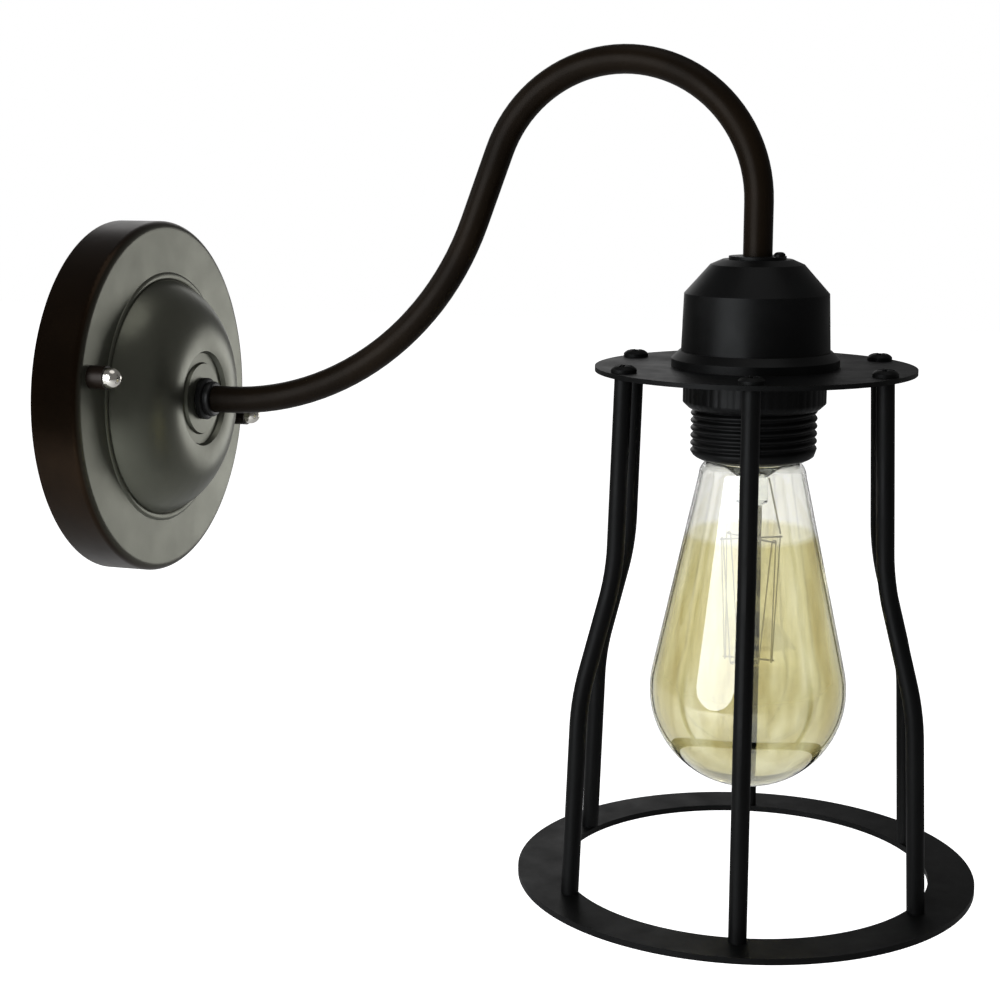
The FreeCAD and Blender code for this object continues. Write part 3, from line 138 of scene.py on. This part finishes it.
# looks of the record's material slots, and satin_black for the stepped collar; one number is a grey
PAINTS = {
    "arm_bronze": dict(dark=(0.0055, 0.0034, 0.0018), light=(0.011, 0.0068, 0.0036), metallic=0.2,
                       sheen=(0.34, 0.46), gloss=0.07),
    "collar_bronze": dict(dark=(0.006, 0.0032, 0.002), light=(0.013, 0.0072, 0.004), metallic=0.4,
                          sheen=(0.30, 0.45), gloss=0.3),
    "black_steel": dict(dark=0.002, light=0.004, metallic=0.0, sheen=(0.40, 0.52), gloss=0.10),
    "cage_black": dict(dark=0.002, light=0.004, metallic=0.0, sheen=(0.40, 0.54), gloss=0.10),
    "satin_black": dict(dark=0.003, light=0.006, metallic=0.0, sheen=(0.34, 0.42), gloss=0.3),
}
METALS = {
    "polished_nickel": dict(colour=(0.86, 0.82, 0.75), roughness=0.12),
    "zinc_hardware": dict(colour=(0.66, 0.67, 0.68), roughness=0.32),
    "zinc_strap": dict(colour=(0.62, 0.63, 0.65), roughness=0.38, scratch=150.0, wear=0.90),
    "tinned_copper": dict(colour=(0.74, 0.70, 0.64), roughness=0.35),
    "terminal_brass": dict(colour=(0.78, 0.58, 0.27), roughness=0.28),
    "shell_brass": dict(colour=(0.80, 0.66, 0.38), roughness=0.25),
    "bulb_cap_metal": dict(colour=(0.80, 0.78, 0.73), roughness=0.24),
    "solder_tip": dict(colour=(0.66, 0.66, 0.67), roughness=0.35),
}
WIRES = {
    "support_wire": dict(dark=(0.52, 0.48, 0.36), light=(0.68, 0.64, 0.50)),
    "tungsten": dict(dark=(0.55, 0.50, 0.36), light=(0.72, 0.67, 0.50)),
}
MOULDINGS = {
    "holder_black": dict(dark=0.0016, light=0.0032, roughness=0.38, gloss=0.12),
    "block_plastic": dict(dark=(0.78, 0.78, 0.74), light=(0.86, 0.86, 0.82), roughness=0.4),
    "porcelain": dict(dark=(0.76, 0.74, 0.68), light=(0.86, 0.84, 0.79), roughness=0.2),
    "bulb_black_glass": dict(dark=(0.012, 0.010, 0.016), light=(0.022, 0.018, 0.028), roughness=0.12),
    "neutral_insulation": dict(dark=(0.03, 0.14, 0.45), light=(0.05, 0.20, 0.55), roughness=0.4),
    "live_insulation": dict(dark=(0.20, 0.08, 0.03), light=(0.28, 0.12, 0.05), roughness=0.4),
}
EARTH_GREEN = (0.12, 0.42, 0.06)
EARTH_YELLOW = (0.80, 0.70, 0.05)
STEM_TINT = (0.93, 0.95, 0.93)


# ---------------------------------------------------------------- material helpers

def new_material(name):
    material = bpy.data.materials.new(name)
    material.use_nodes = True
    tree = material.node_tree
    shader = next(node for node in tree.nodes if node.type == "BSDF_PRINCIPLED")
    return material, tree, shader


def add(tree, kind, **settings):
    """A new node, with values for its inputs or its own settings."""
    node = tree.nodes.new(kind)
    for name, value in settings.items():
        if name in node.inputs:
            node.inputs[name].default_value = value
        else:
            setattr(node, name, value)
    return node


def noise(tree, scale, detail=4.0, stretch=None):
    """Noise in object space, from 0 to 1; stretch scales the three axes."""
    place = add(tree, "ShaderNodeTexCoord")
    mapping = add(tree, "ShaderNodeMapping")
    if stretch:
        mapping.inputs["Scale"].default_value = stretch
    texture = add(tree, "ShaderNodeTexNoise", Scale=scale, Detail=detail, Roughness=0.55)
    tree.links.new(place.outputs["Object"], mapping.inputs["Vector"])
    tree.links.new(mapping.outputs["Vector"], texture.inputs["Vector"])
    return texture.outputs["Fac"]


def ramp(tree, source, *stops):
    """A colour ramp; each stop is its place and a colour or a grey level."""
    node = add(tree, "ShaderNodeValToRGB")
    elements = node.color_ramp.elements
    while len(elements) < len(stops):
        elements.new(0.5)
    for element, (place, colour) in zip(elements, stops):
        element.position = place
        element.color = (colour, colour, colour, 1) if isinstance(colour, float) else (*colour, 1)
    tree.links.new(source, node.inputs["Fac"])
    return node.outputs["Color"]


def bump(tree, shader, source, strength, distance):
    node = add(tree, "ShaderNodeBump", Strength=strength, Distance=distance)
    tree.links.new(source, node.inputs["Height"])
    tree.links.new(node.outputs["Normal"], shader.inputs["Normal"])


def set_values(shader, **values):
    """Constant values on the shader's own sockets; a _ in a name stands for a space."""
    for name, value in values.items():
        shader.inputs[name.replace("_", " ")].default_value = value


def object_axes(tree):
    """The object-space place of a point, split into its three axes."""
    place = add(tree, "ShaderNodeTexCoord")
    split = add(tree, "ShaderNodeSeparateXYZ")
    tree.links.new(place.outputs["Object"], split.inputs["Vector"])
    return split.outputs


def span(tree, source, low, high):
    """0 where the source is at low, and 1 where it is at high."""
    node = add(tree, "ShaderNodeMapRange")
    node.inputs["From Min"].default_value = low
    node.inputs["From Max"].default_value = high
    tree.links.new(source, node.inputs["Value"])
    return node.outputs["Result"]


def mix_colours(tree, share, first, second):
    """The first colour where the share is 0, the second where it is 1."""
    node = add(tree, "ShaderNodeMix", data_type="RGBA")
    tree.links.new(share, node.inputs["Factor"])
    tree.links.new(first, node.inputs[MIX_FIRST])
    tree.links.new(second, node.inputs[MIX_SECOND])
    return node.outputs[MIX_RESULT]


# ---------------------------------------------------------------- materials

def satin_paint(name, dark, light, metallic, sheen, gloss):
    """Sprayed satin paint: faint cloudy tone, uneven sheen and a fine orange-peel grain.

    sheen is the lowest and highest roughness."""
    material, tree, shader = new_material(name)
    cloud = noise(tree, scale=34.0, detail=5.0)
    tree.links.new(ramp(tree, cloud, (0.32, dark), (0.70, light)), shader.inputs["Base Color"])
    gleam = noise(tree, scale=90.0, detail=6.0)
    tree.links.new(ramp(tree, gleam, (0.30, sheen[0]), (0.72, sheen[1])), shader.inputs["Roughness"])
    bump(tree, shader, noise(tree, scale=1800.0, detail=2.0), strength=0.35, distance=0.00002)
    set_values(shader, Metallic=metallic, Specular_IOR_Level=gloss)
    return material


def bare_metal(name, colour, roughness, scratch=400.0, wear=0.78):
    """Plated or drawn metal with fine marks; wear is how much of the colour is left in them."""
    material, tree, shader = new_material(name)
    marks = noise(tree, scale=scratch, detail=6.0)
    dull = tuple(channel * wear for channel in colour)
    rough = min(1.0, roughness * 1.5)
    tree.links.new(ramp(tree, marks, (0.25, dull), (0.65, colour)), shader.inputs["Base Color"])
    tree.links.new(ramp(tree, marks, (0.2, roughness * 0.7), (0.8, rough)), shader.inputs["Roughness"])
    bump(tree, shader, marks, strength=0.25, distance=0.00001)
    set_values(shader, Metallic=1.0)
    return material


def drawn_wire(name, dark, light):
    """Fine dull wire inside the bulb, oxidised unevenly along its length."""
    material, tree, shader = new_material(name)
    oxide = noise(tree, scale=260.0)
    tree.links.new(ramp(tree, oxide, (0.3, dark), (0.7, light)), shader.inputs["Base Color"])
    tree.links.new(ramp(tree, oxide, (0.3, 0.40), (0.7, 0.60)), shader.inputs["Roughness"])
    bump(tree, shader, oxide, strength=0.2, distance=0.00001)
    return material


def moulded(name, dark, light, roughness, gloss=0.5):
    """Moulded plastic, phenolic or glaze with a faint mottle."""
    material, tree, shader = new_material(name)
    mottle = noise(tree, scale=60.0, detail=6.0)
    smooth, rough = roughness * 0.8, roughness * 1.25
    tree.links.new(ramp(tree, mottle, (0.3, dark), (0.7, light)), shader.inputs["Base Color"])
    tree.links.new(ramp(tree, mottle, (0.3, smooth), (0.7, rough)), shader.inputs["Roughness"])
    bump(tree, shader, noise(tree, scale=900.0, detail=3.0), strength=0.25, distance=0.00002)
    set_values(shader, Specular_IOR_Level=gloss)
    return material


def striped(name, first, second, pitch):
    """Two-colour wire insulation: the second colour winds round the first."""
    material, tree, shader = new_material(name)
    place = add(tree, "ShaderNodeTexCoord")
    bands = add(tree, "ShaderNodeTexWave", Scale=1.0 / pitch, Distortion=0.6, bands_direction="DIAGONAL")
    tree.links.new(place.outputs["Object"], bands.inputs["Vector"])
    stripes = ramp(tree, bands.outputs["Fac"], (0.55, first), (0.60, second))
    tree.links.new(stripes, shader.inputs["Base Color"])
    set_values(shader, Roughness=0.45)
    return material


def canopy_paint(name):
    """Olive bronze on the plate's face and dome, with painted shade darkening it to near black brown round
    its rim.
    """
    material, tree, shader = new_material(name)
    low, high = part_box("wall_plate")
    edge = (high[0] - low[0]) / 2
    shade_from = edge - 0.0030
    shade_to = edge - 0.0004
    axes = object_axes(tree)
    across = add(tree, "ShaderNodeCombineXYZ")
    tree.links.new(axes["X"], across.inputs["X"])
    tree.links.new(axes["Z"], across.inputs["Y"])
    reach = add(tree, "ShaderNodeVectorMath", operation="LENGTH")
    tree.links.new(across.outputs["Vector"], reach.inputs[0])
    # painted shade: 0 on the face, 1 round the rim, from shade_from out to shade_to
    rim = span(tree, reach.outputs["Value"], shade_from, shade_to)
    cloud = noise(tree, scale=30.0, detail=6.0)
    olive = ramp(tree, cloud, (0.30, (0.128, 0.130, 0.102)), (0.72, (0.160, 0.162, 0.130)))
    # the painted shade's near black brown, mixed in round the rim
    brown = ramp(tree, cloud, (0.35, (0.0150, 0.0085, 0.0042)), (0.70, (0.0270, 0.0150, 0.0072)))
    tree.links.new(mix_colours(tree, rim, olive, brown), shader.inputs["Base Color"])
    gleam = noise(tree, scale=80.0, detail=6.0)
    tree.links.new(ramp(tree, gleam, (0.30, 0.30), (0.72, 0.38)), shader.inputs["Roughness"])
    bump(tree, shader, noise(tree, scale=1500.0, detail=2.0), strength=0.35, distance=0.00002)
    set_values(shader, Metallic=0.85, Specular_IOR_Level=0.3)
    return material


def coated_glass(name):
    """Clear at the neck, with an olive-amber coat below that runs in faint upright streaks.

    The coat is deeper towards the glass's foot, and painted shade darkens it to its darkest tone on the side
    away from the wall."""
    material, tree, shader = new_material(name)
    low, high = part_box("bulb_envelope")
    foot = low[2]
    coat_top = high[2] - BARE_NECK
    axes = object_axes(tree)
    upward = span(tree, axes["Z"], foot + COAT_DEEP_BELOW, foot + COAT_THIN_ABOVE)
    # painted shade: 0 towards the wall, 1 on the side away from it
    painted_shade_outward = span(tree, axes["Y"], AXIS_Y + PAINTED_SHADE_START_BEHIND, AXIS_Y - PAINTED_SHADE_FULL_AHEAD)
    neck = span(tree, axes["Z"], coat_top - COAT_EDGE, coat_top)
    streaks = noise(tree, scale=95.0, stretch=(1, 1, 0.06))
    thin = ramp(tree, streaks, (0.32, (0.57, 0.51, 0.27)), (0.48, (0.74, 0.70, 0.47)),
                (0.68, (0.87, 0.85, 0.69)))
    # the coat's darkest tone, used for the real deeper coat at the foot and for the painted shade away from
    # the wall
    deep_coat_and_shade_tone = ramp(tree, streaks, (0.32, (0.52, 0.46, 0.24)), (0.48, (0.67, 0.64, 0.43)),
                (0.68, (0.78, 0.77, 0.62)))
    bare = ramp(tree, streaks, (0.30, (0.84, 0.84, 0.81)), (0.70, (0.96, 0.96, 0.94)))
    coat = mix_colours(tree, upward, deep_coat_and_shade_tone, thin)
    # painted shade: the coat is darkened on the side away from the wall
    coat = mix_colours(tree, painted_shade_outward, coat, deep_coat_and_shade_tone)
    tree.links.new(mix_colours(tree, neck, coat, bare), shader.inputs["Base Color"])
    smear = noise(tree, scale=40.0, detail=3.0, stretch=(1, 1, 0.3))
    tree.links.new(ramp(tree, smear, (0.35, 0.0), (0.8, 0.03)), shader.inputs["Roughness"])
    bump(tree, shader, noise(tree, scale=26.0, detail=1.0), strength=0.12, distance=0.0006)
    set_values(shader, Transmission_Weight=1.0, IOR=1.47, Coat_Weight=1.0, Coat_IOR=1.8, Coat_Roughness=0.01)
    return material


def plain_glass(name, tint):
    """The stem's clear glass, with a low IOR so that it stays faint inside the bulb."""
    material, tree, shader = new_material(name)
    streak = noise(tree, scale=120.0, detail=2.0)
    soft = tuple(channel * 0.96 for channel in tint)
    tree.links.new(ramp(tree, streak, (0.3, soft), (0.7, tint)), shader.inputs["Base Color"])
    bump(tree, shader, streak, strength=0.1, distance=0.0001)
    set_values(shader, Transmission_Weight=1.0, Roughness=0.02, IOR=1.12)
    return material


def make_materials():
    """Every material by its name: the record's slots, and satin_black."""
    materials = {
        "canopy_bronze": canopy_paint("canopy_bronze"),
        "earth_insulation": striped("earth_insulation", EARTH_GREEN, EARTH_YELLOW, pitch=0.004),
        "amber_glass": coated_glass("amber_glass"),
        "stem_glass": plain_glass("stem_glass", STEM_TINT),
    }
    kinds = ((satin_paint, PAINTS), (bare_metal, METALS), (drawn_wire, WIRES), (moulded, MOULDINGS))
    for make, looks in kinds:
        for name, look in looks.items():
            materials[name] = make(name, **look)
    return materials


# ---------------------------------------------------------------- mesh helpers

def body_of_node(node):
    for body, members in frame["record"]["behaviour"]["bodies"].items():
        if node in members:
            return body
    raise KeyError(node)


def stand_for(piece, node):
    """The piece takes a node's place and body, and the node is hidden."""
    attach(piece, body_of_node(node))
    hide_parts(node)


def mesh_object(name, mesh, material):
    piece = bpy.data.objects.new(name, mesh)
    bpy.context.scene.collection.objects.link(piece)
    mesh.materials.append(material)
    return piece


def smooth_piece(name, shape, material, sharp=None):
    """A smooth-shaded piece from a closed shape, with edges over the sharp angle left sharp."""
    bmesh.ops.recalc_face_normals(shape, faces=shape.faces)
    mesh = bpy.data.meshes.new(name)
    shape.to_mesh(mesh)
    shape.free()
    for face in mesh.polygons:
        face.use_smooth = True
    if sharp is not None:
        mesh.set_sharp_from_angle(angle=sharp)
    return mesh_object(name, mesh, material)


def join_loops(shape, loops, others):
    """Faces between each loop of points and the loop beside it."""
    for one, other in zip(loops, others):
        for step in range(len(one)):
            after = (step + 1) % len(one)
            shape.faces.new((one[step], one[after], other[after], other[step]))


def limited(value):
    """The value, held between 0 and 1."""
    return min(1.0, max(0.0, value))


def wave(turns):
    """1 at each whole turn and 0 half way between."""
    return 0.5 + 0.5 * math.cos(2 * math.pi * turns)


def plain_ring(radius, height):
    """A ring of a spun piece that is the same all round."""
    return lambda turn: (radius, height)


def spun_piece(name, rings, sections, material):
    """A closed piece spun round the cage's axis, whose radius may change with the turn.

    rings is a list of functions of the turn (0 to 1), each giving (radius, height); the last
    ring joins the first, so the list runs once round the section."""
    shape = bmesh.new()
    loops = []
    for ring in rings:
        loop = []
        for step in range(sections):
            turn = step / sections
            radius, height = ring(turn)
            angle = 2 * math.pi * turn
            loop.append(shape.verts.new((AXIS_X + radius * math.cos(angle),
                                         AXIS_Y + radius * math.sin(angle), height)))
        loops.append(loop)
    join_loops(shape, loops, loops[1:] + loops[:1])
    return smooth_piece(name, shape, material)


def turned_on_wall(name, profile, material):
    """A closed ring turned about the Y axis; the profile is (radius, y) once round the section."""
    sections = 180
    shape = bmesh.new()
    loops = []
    for radius, depth in profile:
        loop = []
        for step in range(sections):
            angle = 2 * math.pi * step / sections
            loop.append(shape.verts.new((radius * math.cos(angle), depth, radius * math.sin(angle))))
        loops.append(loop)
    join_loops(shape, loops, loops[1:] + loops[:1])
    return smooth_piece(name, shape, material, SHARP_EDGE)


# ---------------------------------------------------------------- pieces on the wall plate

def plate_bead(materials):
    """The bead pressed round the foot of the plate's dome, proud of the flat face."""
    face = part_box("canopy_collars")[1][1]     # the collars sit on that face
    steps = 8
    profile = []
    for step in range(steps + 1):
        sweep = math.pi * step / steps
        radius = DOME_FOOT + BEAD_WIDTH / 2 * (1 - math.cos(sweep))
        profile.append((radius, face - BEAD_HEIGHT * math.sin(sweep)))
    bead = turned_on_wall("plate_bead", profile, materials["canopy_bronze"])
    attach(bead, body_of_node("wall_plate"))
    return bead


def stepped_collar(materials):
    """The collar on the plate: a flange, a groove and a narrower nose round the tube."""
    low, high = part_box("arm_collar")
    seat = high[1]
    front = low[1]
    flange = (high[0] - low[0]) / 2
    nose = flange - COLLAR_STEP
    bore = min(math.hypot(vertex.co.x, vertex.co.z) for vertex in NODES["arm_collar"].data.vertices)
    bevel = 0.0003
    slope = 0.0004
    rounding = 0.0006
    groove = nose - slope
    groove_near = seat - COLLAR_GROOVE
    groove_far = groove_near - slope
    profile = [(bore, seat), (flange - bevel, seat), (flange, seat - bevel),
               (flange, seat - COLLAR_FLANGE), (flange - slope, seat - COLLAR_FLANGE - slope),
               (groove, groove_near), (groove, groove_far), (nose, groove_far - slope / 2),
               (nose, front + rounding), (nose - rounding / 3, front + rounding / 3),
               (nose - rounding, front), (bore, front)]
    collar = turned_on_wall("collar_stepped", profile, materials["satin_black"])
    stand_for(collar, "arm_collar")
    return collar


# ---------------------------------------------------------------- threads and ribs

def lampholder_skirt(materials):
    """The skirt with its coarse outside thread, which the shade rings run on."""
    low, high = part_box("lampholder_skirt")
    major = (high[0] - low[0]) / 2
    thread_low = low[2] + SKIRT_THREAD_UP
    thread_high = high[2] - SKIRT_THREAD_DOWN
    lip = low[2] + SKIRT_LIP

    def ridge(level):
        def place(turn):
            height = level + SKIRT_PITCH * turn
            crest = wave((level - thread_low) / SKIRT_PITCH) ** CREST_BREADTH
            fade = limited((height - thread_low) / SKIRT_FADE_IN)
            fade *= limited((thread_high - height) / SKIRT_FADE_OUT)
            return (major - SKIRT_DEPTH * (1 - crest) * fade, min(height, thread_high))
        return place

    count = int((thread_high - thread_low - SKIRT_PITCH) / SKIRT_PITCH * RINGS_A_PITCH)
    rings = [plain_ring(SKIRT_MOUTH, low[2])]
    rings += [plain_ring(radius, low[2] + rise) for radius, rise in SKIRT_FOOT]
    rings += [ridge(thread_low + SKIRT_PITCH * step / RINGS_A_PITCH) for step in range(count + 1)]
    rings += [plain_ring(major, high[2] - SKIRT_LAND), plain_ring(major, high[2]),
              plain_ring(SKIRT_BORE, high[2]), plain_ring(SKIRT_BORE, lip), plain_ring(SKIRT_MOUTH, lip)]
    piece = spun_piece("skirt_threaded", rings, sections=96, material=materials["holder_black"])
    stand_for(piece, "lampholder_skirt")


def rolled_shell(name, node, material, share):
    """A screw shell rolled from sheet, so its thread shows on both faces.

    The thread has a share of its full depth."""
    low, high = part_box(node)
    major = (high[0] - low[0]) / 2
    minor = major - SHELL_WALL
    start = low[2] + SHELL_PLAIN
    finish = high[2] - SHELL_PLAIN

    def thread(level, radius):
        def place(turn):
            height = level + SHELL_PITCH * turn
            root = 1 - wave((level - low[2]) / SHELL_PITCH)
            fade = limited((height - start) / SHELL_FADE) * limited((finish - height) / SHELL_FADE)
            return (radius - share * SHELL_DEPTH * root * fade, min(max(height, low[2]), high[2]))
        return place

    count = int((high[2] - low[2] - SHELL_PITCH) / SHELL_PITCH * RINGS_A_PITCH)
    levels = [low[2] + SHELL_PITCH * step / RINGS_A_PITCH for step in range(count + 1)]
    rings = [plain_ring(major, low[2])]
    rings += [thread(level, major) for level in levels]
    rings += [plain_ring(major, high[2]), plain_ring(minor, high[2])]
    rings += [thread(level, minor) for level in reversed(levels)]
    rings += [plain_ring(minor, low[2])]
    stand_for(spun_piece(name, rings, sections=80, material=material), node)


def lower_ring(materials):
    """The lower shade ring with its grip ribs."""
    low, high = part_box("lower_shade_ring")
    outside = (high[0] - low[0]) / 2

    def grip(height, groove):
        return lambda turn: (outside - groove * (1 - wave(turn * RING_RIBS) ** RIB_BREADTH), height)

    foot = outside - 0.0020       # its lower edge is drawn in to this radius
    land = high[2] - 0.0014       # it is plain again from here up
    ribs_low = low[2] + RIB_MARGIN
    ribs_high = high[2] - RIB_MARGIN
    bevel = 0.0003
    rings = [plain_ring(RING_BORE, low[2]), plain_ring(foot, low[2]),
             plain_ring(foot + bevel, low[2] + 0.0002),
             grip(ribs_low - RIB_FADE, RIB_DEPTH * 2 / 3), grip(ribs_low, RIB_DEPTH),
             grip(ribs_high, RIB_DEPTH), grip(ribs_high + RIB_FADE, RIB_DEPTH / 3),
             plain_ring(outside, land), plain_ring(outside, high[2] - bevel),
             plain_ring(outside - bevel, high[2]), plain_ring(RING_BORE, high[2])]
    piece = spun_piece("lower_ring_ribbed", rings, RING_RIBS * POINTS_A_RIB, materials["holder_black"])
    stand_for(piece, "lower_shade_ring")


# ---------------------------------------------------------------- screws

def sunk_head(shape, centre, foot, seat, rise, head, shank, cross):
    """A pan-head screw with a cross or a slot sunk in its head, added to the shape.

    foot is the shank's lower end, seat and rise the head's underside and height."""
    sections = 48
    steps = 16
    floor = rise * 0.35                               # height of the recess's floor above the seat
    half_slot = head * 0.15
    reach = head * 0.62 if cross else head * 2        # a slot runs out at both sides
    edge = head * 0.06                                # width of the recess's sloping edge

    def inside(gap):
        return limited(gap / edge + 0.5)

    def face(radius, angle):
        x = radius * math.cos(angle)
        y = radius * math.sin(angle)
        crown = rise * (1.0 - 0.55 * (radius / head) ** 4)
        arms = [(x, y), (y, x)] if cross else [(x, y)]
        sunk = max(inside(half_slot - abs(along)) * inside(reach - abs(across)) for along, across in arms)
        return seat + crown - sunk * max(0.0, crown - floor)

    def loop(radius, level):
        points = []
        for step in range(sections):
            angle = 2 * math.pi * step / sections
            height = face(radius, angle) if level is None else level
            points.append(shape.verts.new((centre[0] + radius * math.cos(angle),
                                           centre[1] + radius * math.sin(angle), height)))
        return points

    loops = [loop(shank, foot), loop(shank, seat), loop(head, seat)]
    loops += [loop(head * step / steps, None) for step in range(steps, 0, -1)]
    join_loops(shape, loops, loops[1:])
    for ring, level in ((loops[0], foot), (loops[-1], face(0.0, 0.0))):
        middle = shape.verts.new((centre[0], centre[1], level))
        for step in range(sections):
            shape.faces.new((ring[step], ring[(step + 1) % sections], middle))


def screws_for(node, name, places, seat, rise, head, shank, cross, material):
    """Screws with driven heads in the places of a node's plain ones."""
    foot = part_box(node)[0][2]
    shape = bmesh.new()
    for place in places:
        sunk_head(shape, place, foot, seat, rise, head, shank, cross)
    stand_for(smooth_piece(name, shape, material, SHARP_EDGE), node)


def cage_screws(materials):
    """Low crossed pan heads on the disc, one where each rod ends."""
    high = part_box("cage_rod_screws")[1]
    spread = (high[0] - ROD_SCREW_BOX - AXIS_X) / math.cos(math.radians(ROD_SCREW_TURN))
    places = []
    for count in range(CAGE_RODS):
        angle = math.radians(ROD_SCREW_TURN + 360.0 / CAGE_RODS * count)
        places.append((AXIS_X + spread * math.cos(angle), AXIS_Y + spread * math.sin(angle)))
    screws_for("cage_rod_screws", "cage_screws_crossed", places, DISC_TOP, rise=ROD_SCREW_RISE,
               head=ROD_SCREW_HEAD, shank=ROD_SCREW_SHANK, cross=True, material=materials["cage_black"])


def lock_screw(materials):
    """The low slotted screw beside the tube on the cap."""
    low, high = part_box("cap_lock_screw")
    place = ((low[0] + high[0]) / 2, (low[1] + high[1]) / 2)
    head = (high[0] - low[0]) / 2
    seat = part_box("lampholder_cap")[1][2]
    screws_for("cap_lock_screw", "cap_screw_slotted", [place], seat, rise=LOCK_SCREW_RISE,
               head=head, shank=LOCK_SCREW_SHANK, cross=False, material=materials["holder_black"])


# ---------------------------------------------------------------- camera and lights

def make_camera():
    data = bpy.data.cameras.new("camera")
    data.lens = CAMERA_LENS
    data.sensor_width = CAMERA_FRAME
    data.clip_start = 0.01
    camera = bpy.data.objects.new("camera", data)
    bpy.context.scene.collection.objects.link(camera)
    turn = math.radians(CAMERA_TURN)
    tilt = math.radians(CAMERA_TILT)
    ahead = Vector((math.cos(turn) * math.cos(tilt), math.sin(turn) * math.cos(tilt), math.sin(tilt)))
    camera.location = CAMERA_AT
    camera.rotation_euler = ahead.to_track_quat("-Z", "Y").to_euler()
    bpy.context.scene.camera = camera


def area_light(name, at, aim, size, power, colour=(1, 1, 1)):
    """A soft oval light that the camera doesn't see, straight or through glass."""
    data = bpy.data.lights.new(name, "AREA")
    data.shape = "ELLIPSE"
    data.size, data.size_y = size
    data.energy = power
    data.color = colour
    light = bpy.data.objects.new(name, data)
    bpy.context.scene.collection.objects.link(light)
    light.location = at
    light.rotation_euler = (Vector(aim) - Vector(at)).to_track_quat("-Z", "Y").to_euler()
    light.visible_camera = False
    light.visible_transmission = False
    return light


def link_light(light, pieces, state):
    """The light falls on these pieces alone, or on everything but them."""
    linked = bpy.data.collections.new(light.name + "_linked")
    for piece in pieces:
        linked.objects.link(piece)
    light.light_linking.receiver_collection = linked
    for member in linked.collection_objects:
        member.light_linking.link_state = state


def make_lights(bead, collar):
    """A soft box on the left for the bulb, one low on the right for the plate, and weak fills.

    The bulb's box stays off the plate, the plate's box falls on the plate and its fittings alone,
    and the fills stay off the bulb's glass."""
    bulb = (AXIS_X, AXIS_Y, -0.06)
    plate = (0.0, -0.02, 0.0)
    bulb_box = area_light("bulb_box", at=(-0.80, 0.19, 0.13), aim=bulb, size=(0.80, 0.92), power=8.0,
                          colour=(0.93, 0.97, 1.0))
    link_light(bulb_box, [NODES["wall_plate"], bead], "EXCLUDE")
    plate_box = area_light("plate_box", at=(0.90, -0.36, -0.13), aim=plate, size=(0.46, 0.46), power=1.15)
    fittings = [NODES[node] for node in ("wall_plate", "canopy_collars", "cap_nuts")]
    link_light(plate_box, [bead, collar] + fittings, "INCLUDE")
    fills = (area_light("top_box", at=(-0.10, -0.30, 1.25), aim=bulb, size=(1.0, 1.0), power=2.0),
             area_light("right_box", at=(1.20, 0.45, 0.40), aim=bulb, size=(1.0, 1.0), power=1.8),
             area_light("back_box", at=(-0.20, 1.30, 0.50), aim=plate, size=(1.0, 1.0), power=2.6))
    for fill in fills:
        link_light(fill, [NODES["bulb_envelope"]], "EXCLUDE")


# ---------------------------------------------------------------- floor and room

def seen_directly(tree):
    """1 for what the camera sees, straight or through glass, and 0 for light that falls on things."""
    path = add(tree, "ShaderNodeLightPath")
    either = add(tree, "ShaderNodeMath", operation="MAXIMUM")
    tree.links.new(path.outputs["Is Camera Ray"], either.inputs[0])
    tree.links.new(path.outputs["Is Transmission Ray"], either.inputs[1])
    return either.outputs["Value"]


def make_floor():
    """A white paper floor, lit so that it shows no edge against the room."""
    level = RING_BOTTOM - FLOOR_DROP
    corners = [(-FLOOR_REACH, -FLOOR_REACH, level), (FLOOR_REACH, -FLOOR_REACH, level),
               (FLOOR_REACH, FLOOR_REACH, level), (-FLOOR_REACH, FLOOR_REACH, level)]
    mesh = bpy.data.meshes.new("floor")
    mesh.from_pydata(corners, [], [(0, 1, 2, 3)])
    material, tree, shader = new_material("floor_paper")
    fibre = noise(tree, scale=3.0, detail=6.0)
    tree.links.new(ramp(tree, fibre, (0.3, 0.93), (0.7, 0.96)), shader.inputs["Base Color"])
    set_values(shader, Roughness=0.9, Emission_Color=(1, 1, 1, 1))
    tree.links.new(seen_directly(tree), shader.inputs["Emission Strength"])
    mesh_object("floor", mesh, material)


def make_room():
    """White to the eye, and dimmer as a light, so that black paint stays black."""
    world = bpy.data.worlds.new("studio")
    world.use_nodes = True
    tree = world.node_tree
    room = tree.nodes["Background"]
    room.inputs["Color"].default_value = (1, 1, 1, 1)
    level = add(tree, "ShaderNodeMapRange")
    level.inputs["To Min"].default_value = DIM_ROOM
    level.inputs["To Max"].default_value = 1.0
    tree.links.new(seen_directly(tree), level.inputs["Value"])
    tree.links.new(level.outputs["Result"], room.inputs["Strength"])
    bpy.context.scene.world = world
    bpy.context.scene.view_settings.view_transform = "Standard"


# ---------------------------------------------------------------- build

def dress(materials):
    """Every carried-over node gets its slot's material."""
    for entry in frame["record"]["subparts"]:
        node = NODES[entry["node"]]
        node.data.materials.clear()
        node.data.materials.append(materials[entry["material_slot"]])


def main():
    materials = make_materials()
    dress(materials)
    bead = plate_bead(materials)
    collar = stepped_collar(materials)
    lampholder_skirt(materials)
    lower_ring(materials)
    cage_screws(materials)
    lock_screw(materials)
    rolled_shell("bulb_cap_threaded", "bulb_cap_shell", materials["bulb_cap_metal"], share=1.0)
    rolled_shell("screw_shell_threaded", "screw_shell", materials["shell_brass"], share=0.25)
    make_camera()
    make_floor()
    make_room()
    make_lights(bead, collar)


main()
